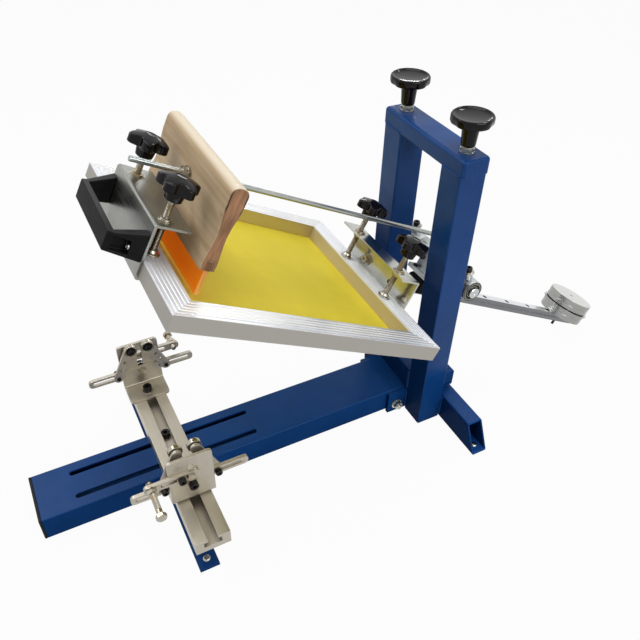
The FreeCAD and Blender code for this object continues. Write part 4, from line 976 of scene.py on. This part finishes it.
class PRINTER_OT_height_adjusters(bpy.types.Operator):
    """Makes the two height knobs with their screws and nuts, and dresses the shaft housings"""
    bl_idname = "printer.height_adjusters"
    bl_label = "Height adjusters"

    def execute(self, context):
        size = sizes()
        for hand, side in (("right", 1), ("left", -1)):
            self.knob(hand, size)
            self.housing(hand, side)
        low, high, middle = extent("screw_bushings")
        bore, foot, top = 5.2, low.z, high.z
        nuts = []
        for side in SIDES:
            at = (side * (high.x - 9.5), middle.y, 0)
            nuts += [put(disc(9.4, foot, foot + 1.6, 0.4, bore), at),
                     put(hexagon_head(9.2, foot + 1.6, top - 2.4, bore), at, turn=0.35),
                     put(disc(8.2, top - 2.4, top - 1.2, 0.4, bore), at),
                     put(disc(7.6, top - 1.1, top, 0.4, bore), at)]
        make("screw_nuts", nuts, "bright_fastener", "base", stands_for=("screw_bushings",))
        return {"FINISHED"}

    def knob(self, hand, size):
        """A disc knob. The third value in its outline is the depth of the flutes, 1 for the whole of it."""
        node = hand + "_height_knob"
        low, high, middle = extent(node)
        at = (middle.x, middle.y, 0)
        top, rim, foot = high.z, high.z - 12.5, high.z - 38.9
        reach = (high.x - low.x) / 2
        stem = [(0, foot, 0), (7.8, foot, 0), (8.9, foot + 1.0, 0), (9.3, foot + 4, 0), (10.0, foot + 15, 0),
                (10.8, rim - 4.0, 0), (11.4, rim - 1.2, 0), (13.0, rim - 0.2, 0.2), (17.0, rim + 0.1, 0.8)]
        edge = [(3.4, rim + 0.9, 1), (1.0, rim + 2.4, 1), (0, rim + 4.6, 0.9), (0, rim + 8.0, 0.6),
                (0, top - 2.6, 0.35), (0.4, top - 1.2, 0.2), (1.2, top - 0.3, 0.1), (2.4, top, 0),
                (3.6, top - 0.3, 0), (4.4, top - 1.0, 0), (5.6, top - 1.8, 0), (8.4, top - 2.4, 0),
                (14, top - 2.9, 0)]
        outline = stem + [(reach - inset, z, flute) for inset, z, flute in edge]
        outline += [(6.0, top - 3.2, 0), (0, top - 3.3, 0)]
        shape = put(lathe(outline, 108, 6, size["rim_valley"], 2.2), at)
        make(hand + "_knob_disc", [shape], "gloss_plastic", node, stands_for=(node,))
        screw = [put(thread(5.0, low.z, foot - 0.5, size["height_pitch"]), at),
                 put(disc(4.6, foot - 3, foot + 1, 0.2), at)]
        make(hand + "_height_screw", screw, "zinc_fastener", node)

    def housing(self, hand, side):
        node = hand + "_shaft_housing"
        dressed(node, "machined_steel", 0.6)
        low, high, _ = extent(node)
        pos = Vector(JOINTS["screen_lift"]["pos_m"]) / MM
        at, axis = (side * max(abs(low.x), abs(high.x)), pos.y, pos.z), (side, 0, 0)
        # The dark ring round each bearing is a painted reflection on the housing's face; the seal and ring are
        # real.
        rings = {"seal": ("seal_rubber", [(11.9, -1.9, -0.4, 0.3, 8.9)]),
                 "ring": ("bearing_steel", [(8.9, -1.9, -0.6, 0.3, 8.1), (13.0, -0.2, 0.6, 0.25, 12.1)]),
                 "cover": ("dark_steel", [(15.6, -0.2, 0.4, 0.2, 13.1)])}
        for name, (finish, discs) in rings.items():
            make(f"{hand}_bearing_{name}", [put(disc(*values), at, axis) for values in discs], finish, HOUSINGS)
        boss = (side * 66.0, pos.y, high.z)
        washers = [washer(8.8, 3.0, boss, UP, 1.2), put(disc(7.2, 1.2, 2.8, 0.4), boss)]
        make(hand + "_boss_washers", washers, "bright_fastener", HOUSINGS)
        make(hand + "_boss_screw", socket_head(boss, 5.0, 2.8, 7.8), "black_screw", HOUSINGS)


class PRINTER_OT_tilting_unit(bpy.types.Operator):
    """Makes the pivot shaft and dresses the block and the linear slide under it"""
    bl_idname = "printer.tilting_unit"
    bl_label = "Tilting unit"

    def execute(self, context):
        reach = extent("pivot_shaft")[1].x
        end = [(8.0, reach - 0.8), (7.2, reach), (1.8, reach), (1.6, reach - 0.2), (0, reach - 1.6)]
        shaft = put(lathe([(radius, -along) for radius, along in reversed(end)] + end), axis=ACROSS)
        make("turned_shaft", [shaft], "ground_steel", ARM, TILTED, ("pivot_shaft",))
        dressed("pivot_block", "machined_steel", 0.7)
        dressed("slide_block", "rail_steel", 0.4)
        dressed("slide_block_caps", "grained_plastic", 0.7)
        self.screws()
        return {"FINISHED"}

    def screws(self):
        top = extent("slide_block", TILTED)[1].z
        low, high, _ = extent("slide_block_caps", TILTED)
        black = []
        for x in (-17, 17):
            black += [socket_head((x, s, top + 6.0), 3.6, 0, 3.2) for s in (-22, 34)]
            black += socket_head((x * 0.94, -17, -6), 3.4, 0, 3.0, FORWARD)
        for s, way in ((low.y, -1), (high.y, 1)):
            black += [socket_head((x, s, top - 6.5), 2.2, -0.6, 0.9, (0, way, 0)) for x in (-10.5, 10.5)]
        make("slide_screws", black, "black_screw", ARM, TILTED)
        pinch = [put(disc(3.2, -0.6, 0.4, 0.2), (0, s, 48.3)) for s in (-9, 9)]
        make("rod_grub_screws", pinch, "black_screw", ARM, TILTED)


class PRINTER_OT_sliding_unit(bpy.types.Operator):
    """Dresses the slide rail and its mount, and makes the counterweights"""
    bl_idname = "printer.sliding_unit"
    bl_label = "Rail and counterweights"

    def execute(self, context):
        dressed("slide_rail", "rail_steel", 0.35)
        dressed("rail_mount", "machined_aluminium", 0.5)
        for level in ("lower", "upper"):
            self.weight(level)
        _, high, middle = extent("upper_counterweight", TILTED)
        at = (0, middle.y, 0)
        under = extent("slide_rail", TILTED)[0].z
        # A black ring in the gap between the weights, painted shade of that gap.
        gap = [put(disc(37.6, high.z - 18.9, high.z - 17.5, 0.1, 30.0, 96), at)]
        make("weight_gap", gap, "seal_rubber", CARRIAGE, TILTED)
        bolt = [put(thread(2.4, under - 11.0, under + 1, 0.8, 16), at),
                put(disc(2.0, under - 1, high.z - 2.0, 0.2), at)]
        make("weight_bolt", bolt, "black_screw", CARRIAGE, TILTED)
        return {"FINISHED"}

    def weight(self, level):
        """A turned disc with a groove round its side. The lower one has a rim, the upper one a step."""
        node = level + "_counterweight"
        low, high, middle = extent(node, TILTED)
        body, bore, rim, half = 39.0, 2.6, (high.x - low.x) / 2, middle.z
        side = [(body, half - 0.9), (body - 1.2, half - 0.7), (body - 1.2, half + 0.7), (body, half + 0.9)]
        if level == "lower":
            side = [(body - 0.4, low.z)] + side + [(body, high.z - 2.7), (rim, high.z - 2.5), (rim, high.z)]
        else:
            side = [(body - 2.6, low.z), (body - 2.6, low.z + 1.7), (body, low.z + 1.9)] + side + [(body, high.z)]
        profile = softened([(bore, low.z)] + side + [(bore, high.z)], 0.6, 2)
        shape = put(lathe(profile, 96, bored=True), (0, middle.y, 0))
        make(level + "_turned_weight", [shape], "turned_steel", CARRIAGE, TILTED, (node,))


class PRINTER_OT_screen(bpy.types.Operator):
    """Dresses the four grooved screen bars and stretches the woven mesh under them"""
    bl_idname = "printer.screen"
    bl_label = "Screen"

    def execute(self, context):
        dressed("screen_end_bars", "bar_across", 0.3, 1)
        dressed("screen_side_bars", "bar_along", 0.3, 1)
        low, high, _ = extent("screen_mesh", TILTED)
        bm = plate(rectangle(low.x, high.x, low.y, high.y), low.z, high.z, (), 0.0, 0.0)
        cloth = make("screen_cloth", [bm], "yellow_cloth", CARRIAGE, TILTED, ("screen_mesh",))
        return {"FINISHED"}


class PRINTER_OT_clamps(bpy.types.Operator):
    """Dresses the two sheet clamps, with their weld nuts and bolts"""
    bl_idname = "printer.clamps"
    bl_label = "Screen clamps"

    def execute(self, context):
        dressed("rear_clamp", "bright_sheet", 0.35)
        dressed("front_clamp", "zinc_sheet", 0.35)
        _, high, _ = extent("rear_clamp", TILTED)
        nuts = []
        for name in KNOB_TURNS:
            middle = extent(name + "_clamp_knob", TILTED)[2]
            at = (middle.x, middle.y, high.z)
            nuts += [put(disc(8.6, 0, 1.1, 0.3, 4.15), at), put(disc(6.6, 0.9, 2.6, 0.5, 4.15), at),
                     put(hexagon_head(7.4, -8.0, -3.0, 4.15), at)]
        make("clamp_weld_nuts", nuts, "zinc_fastener", CARRIAGE, TILTED)
        self.web_bolt((-29.0, high.y - 3.0, -35.0))
        return {"FINISHED"}

    def web_bolt(self, at):
        """The bolt and washers in the rear clamp's left hole."""
        washers = [washer(8.6, 3.0, at, FORWARD, 1.4), put(disc(6.6, 1.2, 2.6, 0.3, 3.0), at, FORWARD)]
        make("web_washers", washers, "zinc_fastener", CARRIAGE, TILTED)
        make("web_bolt", socket_head(at, 5.2, 2.6, 7.4, FORWARD), "zinc_fastener", CARRIAGE, TILTED)


class PRINTER_OT_clamp_knobs(bpy.types.Operator):
    """Makes the four star knobs with their clamping screws and feet"""
    bl_idname = "printer.clamp_knobs"
    bl_label = "Star knobs"

    def execute(self, context):
        size = sizes()
        for name, turn in KNOB_TURNS.items():
            self.knob(name, turn, size)
        return {"FINISHED"}

    def knob(self, name, turn, size):
        node = name + "_clamp_knob"
        low, high, _ = extent(node, TILTED)
        pos = TILTED.inverted() @ Vector(JOINTS[node + "_turn"]["pos_m"]) / MM
        at = (pos.x, pos.y, 0)
        foot, under, hub = low.z, high.z - 15, high.z - 27
        head = star_head(23.5, size["star_valley"], size["star_lobes"], under, high.z, size["star_dome"],
                         under - hub)
        make(name + "_star_knob", [put(head, at, turn=turn)], "gloss_plastic", node, TILTED, (node,))
        pad = round_profile([(0, foot), (8.8, foot), (9.0, foot + 1.6), (6.6, foot + 2.8), (5.4, foot + 5.6),
                             (3.4, foot + 6.2), (0, foot + 6.2)], 0.5)
        screw = [put(thread(4.0, foot + 5, hub + 0.6, size["clamp_pitch"]), at), put(lathe(pad), at),
                 put(disc(3.6, hub - 4, hub + 1, 0.2), at)]
        make(name + "_screw", screw, "zinc_fastener", node, TILTED)


class PRINTER_OT_pull_handle(bpy.types.Operator):
    """Rounds the moulded pull handle and seats the screws in its pockets"""
    bl_idname = "printer.pull_handle"
    bl_label = "Pull handle"

    def execute(self, context):
        dressed("pull_handle", "grained_plastic", 1.3, 3)
        pocket = extent("pull_handle", TILTED)[1].y - 14.2
        screws = [socket_head((side * 61.5, pocket, -39.5), 3.4, -0.4, 1.6, FORWARD, 0.55, 0.3) for side in SIDES]
        make("handle_screws", screws, "bright_fastener", CARRIAGE, TILTED)
        return {"FINISHED"}


class PRINTER_OT_squeegee(bpy.types.Operator):
    """Makes the squeegee's rod, wooden handle and blade"""
    bl_idname = "printer.squeegee"
    bl_label = "Squeegee"

    def execute(self, context):
        self.rod()
        self.handle()
        self.blade()
        return {"FINISHED"}

    def rod(self):
        """The sloping rod between the middles of its two ends, and the nuts on both sides of the wood."""
        inverse = TILTED.inverted()
        points = [inverse @ vertex.co / MM for vertex in frame["nodes"]["squeegee_rod"].data.vertices]
        ends = []
        for at in (min(p.y for p in points), max(p.y for p in points)):
            near = [p for p in points if abs(p.y - at) < 1.0]
            ends.append(sum(near, Vector()) / len(near))
        front, back = ends
        span = (back - front).length
        heading = (back - front).normalized()
        rod = lathe(round_profile([(0, 0), (3.2, 0), (3.2, span), (0, span)], 0.8))
        make("plated_rod", [put(rod, front, back - front)], "zinc_rod", ARM, TILTED, ("squeegee_rod",))
        low, high, _ = extent("squeegee_handle", TILTED)
        nuts = []
        for s, way in ((low.y - 1.2, -1), (high.y - 1.4, 1)):
            at = front + heading * ((s - front.y) / heading.y)
            nuts += [put(disc(7.6, 0, 1.3, 0.3, 3.2), at, heading * way),
                     put(hexagon_head(6.4, 1.3, 6.3, 3.2), at, heading * way, 0.3)]
        make("rod_nuts", nuts, "zinc_fastener", ARM, TILTED)

    def handle(self):
        """The waisted wood with its round top and the groove for the blade, closed at both ends."""
        low, high, middle = extent("squeegee_handle", TILTED)
        top, foot, centre = high.z, low.z, middle.y
        half = (high.y - low.y) / 2
        waist, groove, steps = half - 4.4, 3.1, 12
        side = [(foot, half - 2.1), (foot + 8, half - 1.6), (foot + 20, half - 2.6), (foot + 32, waist + 0.4),
                (foot + 41, waist), (foot + 52, waist + 0.9), (foot + 64, half - 1.4), (foot + 72, half - 0.4),
                (top - half, half)]
        for i in range(1, steps):
            angle = math.pi / 2 * i / steps
            side.append((top - half + half * math.sin(angle) ** 0.82, half * math.cos(angle) ** 0.82))
        outline = [(w, h) for h, w in side] + [(0.0, top)] + [(-w, h) for h, w in reversed(side)]
        outline += [(-groove, foot), (-groove, foot + 11.5), (groove, foot + 11.5), (groove, foot)]
        body = plate([Vector((centre + w, h)) for w, h in outline], low.x, high.x, (), 1.6, 1.6, 3)
        make("wooden_handle", [swapped(body)], "pale_wood", ARM, TILTED, ("squeegee_handle",))
        reach = groove - 0.1
        mouth = rectangle(centre - reach, centre + reach, foot + 0.2, foot + 11.4)
        plugs = [swapped(plate(mouth, *ends, (), 0.0, 0.0)) for ends in ((-99.95, -99.1), (99.1, 99.95))]
        make("groove_plugs", plugs, "pale_wood", ARM, TILTED)

    def blade(self):
        low, high, _ = extent("squeegee_blade", TILTED)
        outline = softened(rectangle(low.y, high.y, low.z, high.z), [1.0, 1.0, 0.2, 0.2], 3)
        body = plate(outline, low.x, high.x, (), 0.8, 0.8, 3)
        make("cast_blade", [swapped(body)], "orange_blade", ARM, TILTED, ("squeegee_blade",))


class PRINTER_OT_stand_rail(bpy.types.Operator):
    """Dresses the rail across the beam and sets its two bolts in the groove"""
    bl_idname = "printer.stand_rail"
    bl_label = "Stand rail"

    def execute(self, context):
        dressed("stand_rail", "satin_rail", 0.4)
        _, high, middle = extent("stand_rail")
        bolts = [socket_head((x, middle.y, high.z - 14), 6.4, 0, 8.0) for x in (-20.5, 20.5)]
        make("stand_rail_bolts", bolts, "black_screw", "stand_rail_slider")
        return {"FINISHED"}


class PRINTER_OT_roller_stands(bpy.types.Operator):
    """Makes both roller stands: bracket, slotted bars, arms, bearings and bolts"""
    bl_idname = "printer.roller_stands"
    bl_label = "Roller stands"
    carrier_z, stop_z, arm_y, axle_y, axle_z = 33.0, 54.5, 36.0, 12.4, 84.0

    def execute(self, context):
        for hand, side in (("right", 1), ("left", -1)):
            body, space = hand + "_roller_stand", stand_space(hand)
            self.bracket(hand, body, space)
            self.bars(hand, body, space)
            self.arms(hand, body, space)
            self.roller(hand + "_front_roller", -side, space)
            self.roller(hand + "_rear_roller", side, space)
            self.bolts(hand, body, space)
        return {"FINISHED"}

    def bracket(self, hand, body, space):
        """A flat blank with its slot and bolt hole, bent to stand up from its foot."""
        sheet, bend, tall, foot, half = 4.0, 2.0, 84.0, 40.0, 30.0
        flat_foot = foot - bend - sheet
        total = flat_foot + (bend + sheet / 2) * math.pi / 2 + (tall - bend - sheet)
        up = total - tall
        holes = [long_hole((0, up + 28), (0, up + 66), 4.0), circle(0, 16, 4.2)]
        blank = plate(softened(rectangle(-half, half, 0, total), 6, 6), 0, sheet, holes, 0.5, 0.5)
        bent_up(blank, flat_foot, bend, sheet)
        turn = Matrix(((0, 1, 0, -foot), (-1, 0, 0, 0), (0, 0, 1, 0), (0, 0, 0, 1)))
        make(hand + "_bent_bracket", [swapped(blank, turn)], "satin_plate", body, space,
             (hand + "_stand_bracket",))

    def bars(self, hand, body, space):
        """The slotted bar that carries the arms, and the stop bar outside the plate with its bolt."""
        z = self.carrier_z
        slots = [long_hole((-70, z), (-29, z), 3.0), long_hole((29, z), (70, z), 3.0)]
        carrier = plate(softened(rectangle(-79, 79, z - 7, z + 7), 6.6, 6), -9, -4, slots, 0.5, 0.5)
        slots = [long_hole((-38, self.stop_z), (-1, self.stop_z), 3.0)]
        stopper = plate(softened(rectangle(-62, 10, 48, 61), 6.2, 6), 0, 5, slots, 0.5, 0.5)
        make(hand + "_slotted_bars", [swapped(carrier), swapped(stopper)], "satin_plate", body, space,
             (hand + "_stand_bars",))
        at = (0, -53, self.stop_z)
        reach = 44 if hand == "right" else 24
        bolt = [put(thread(4.0, -7, reach - 6, 1.25), at, ACROSS),
                put(disc(3.9, reach - 8, reach + 0.5, 0.2), at, ACROSS),
                put(hexagon_head(7.0, reach, reach + 5.5), at, ACROSS, 0.2),
                put(hexagon_head(7.0, 6.2, 12.2, 3.9), at, ACROSS, 0.5),
                put(disc(7.6, 5.0, 6.2, 0.3, 3.9), at, ACROSS)]
        make(hand + "_stop_bolt", bolt, "zinc_fastener", body, space)

    def arms(self, hand, body, space):
        plates, axles = [], []
        for side in SIDES:
            low, high = Vector((side * self.arm_y, self.carrier_z)), Vector((side * self.axle_y, self.axle_z))
            holes = [circle(*low.lerp(high, share), 2.5, 20) for share in (0.3, 0.55)]
            plates.append(swapped(plate(long_hole(low, high, 7.0, 12), -13, -9, holes, 0.5, 0.5)))
            at = (-13, high.x, high.y)
            axles += [put(disc(3.0, 0, 7.4, 0.2), at, INWARD),
                      socket_head(at, 5.0, 7.2, 9.7, INWARD, 0.5, 0.4)]
        make(hand + "_arm_plates", plates, "satin_plate", body, space, (hand + "_roller_arms",))
        make(hand + "_axles", axles, "black_screw", body, space)

    def roller(self, node, side, space):
        """A sealed ball bearing."""
        at = (-13.6, side * self.axle_y, self.axle_z)
        rings = [put(disc(9.5, 0, 6, 0.6, 7.4, 48), at, INWARD), put(disc(4.6, 0, 6, 0.3, 3.1), at, INWARD)]
        make(node + "_rings", rings, "bearing_steel", node, space, (node,))
        make(node + "_seals", [put(disc(7.6, 0.5, 5.5, 0.3, 4.4), at, INWARD)], "seal_rubber", node, space)

    def bolts(self, hand, body, space):
        """Blackened socket screws of the foot, the slotted bar, the arms and the stop bar."""
        z, stop_z = self.carrier_z, self.stop_z
        screws = [socket_head((-24, 0, 5.4), 6.4, 0, 7.6), socket_head((1.4, 0, z), 6.2, 0, 7.0, ACROSS),
                  socket_head((6.2, -14, stop_z), 5.2, 0, 6.0, ACROSS)]
        for y in (-self.arm_y, self.arm_y):
            screws += [socket_head((-4.0, y, z), 4.6, 0.2, 6.4, ACROSS),
                       socket_head((-13.0, y, z), 3.2, 0, 1.8, INWARD)]
        make(hand + "_stand_screws", screws, "black_screw", body, space)
        rings = [put(disc(8.2, 4.0, 5.4, 0.3, 4.2), (-24, 0, 0)),
                 put(disc(7.6, 0, 1.4, 0.3, 4.0), (0, 0, z), ACROSS),
                 put(disc(6.4, 5.0, 6.2, 0.3, 3.0), (0, -14, stop_z), ACROSS),
                 put(hexagon_head(6.0, 0, 4.6), (-9.0, 0, z), INWARD, 0.4),
                 put(hexagon_head(5.4, 0, 4.4), (5.0, -2, stop_z), ACROSS, 0.2)]
        make(hand + "_stand_washers", rings, "zinc_fastener", body, space)


class PRINTER_PT_panel(bpy.types.Panel):
    """Lists what the printer is made of"""
    bl_idname = "PRINTER_PT_panel"
    bl_label = "Screen printer"
    bl_space_type = "VIEW_3D"
    bl_region_type = "UI"
    bl_category = "Screen printer"

    def draw(self, context):
        for operator in OPERATORS:
            self.layout.operator(operator.bl_idname)
        for group in POINTERS:
            box = self.layout.box()
            values = getattr(context.scene, group)
            for name in values.__annotations__:
                box.prop(values, name)


OPERATORS = (
    PRINTER_OT_stage,
    PRINTER_OT_base,
    PRINTER_OT_height_adjusters,
    PRINTER_OT_tilting_unit,
    PRINTER_OT_sliding_unit,
    PRINTER_OT_screen,
    PRINTER_OT_clamps,
    PRINTER_OT_clamp_knobs,
    PRINTER_OT_pull_handle,
    PRINTER_OT_squeegee,
    PRINTER_OT_stand_rail,
    PRINTER_OT_roller_stands,
)
POINTERS = {"printer_finishes": PrinterFinishes, "printer_sizes": PrinterSizes, "printer_stage": PrinterStage}
CLASSES = (*POINTERS.values(), *OPERATORS, PRINTER_PT_panel)


def register():
    for cls in CLASSES:
        bpy.utils.register_class(cls)
    for name, group in POINTERS.items():
        setattr(bpy.types.Scene, name, PointerProperty(type=group))


def unregister():
    for name in POINTERS:
        delattr(bpy.types.Scene, name)
    for cls in reversed(CLASSES):
        bpy.utils.unregister_class(cls)


def main():
    register()
    for operator in OPERATORS:
        group, call = operator.bl_idname.split(".")
        getattr(getattr(bpy.ops, group), call)()
    bpy.context.view_layer.update()


if __name__ == "__main__":
    main()
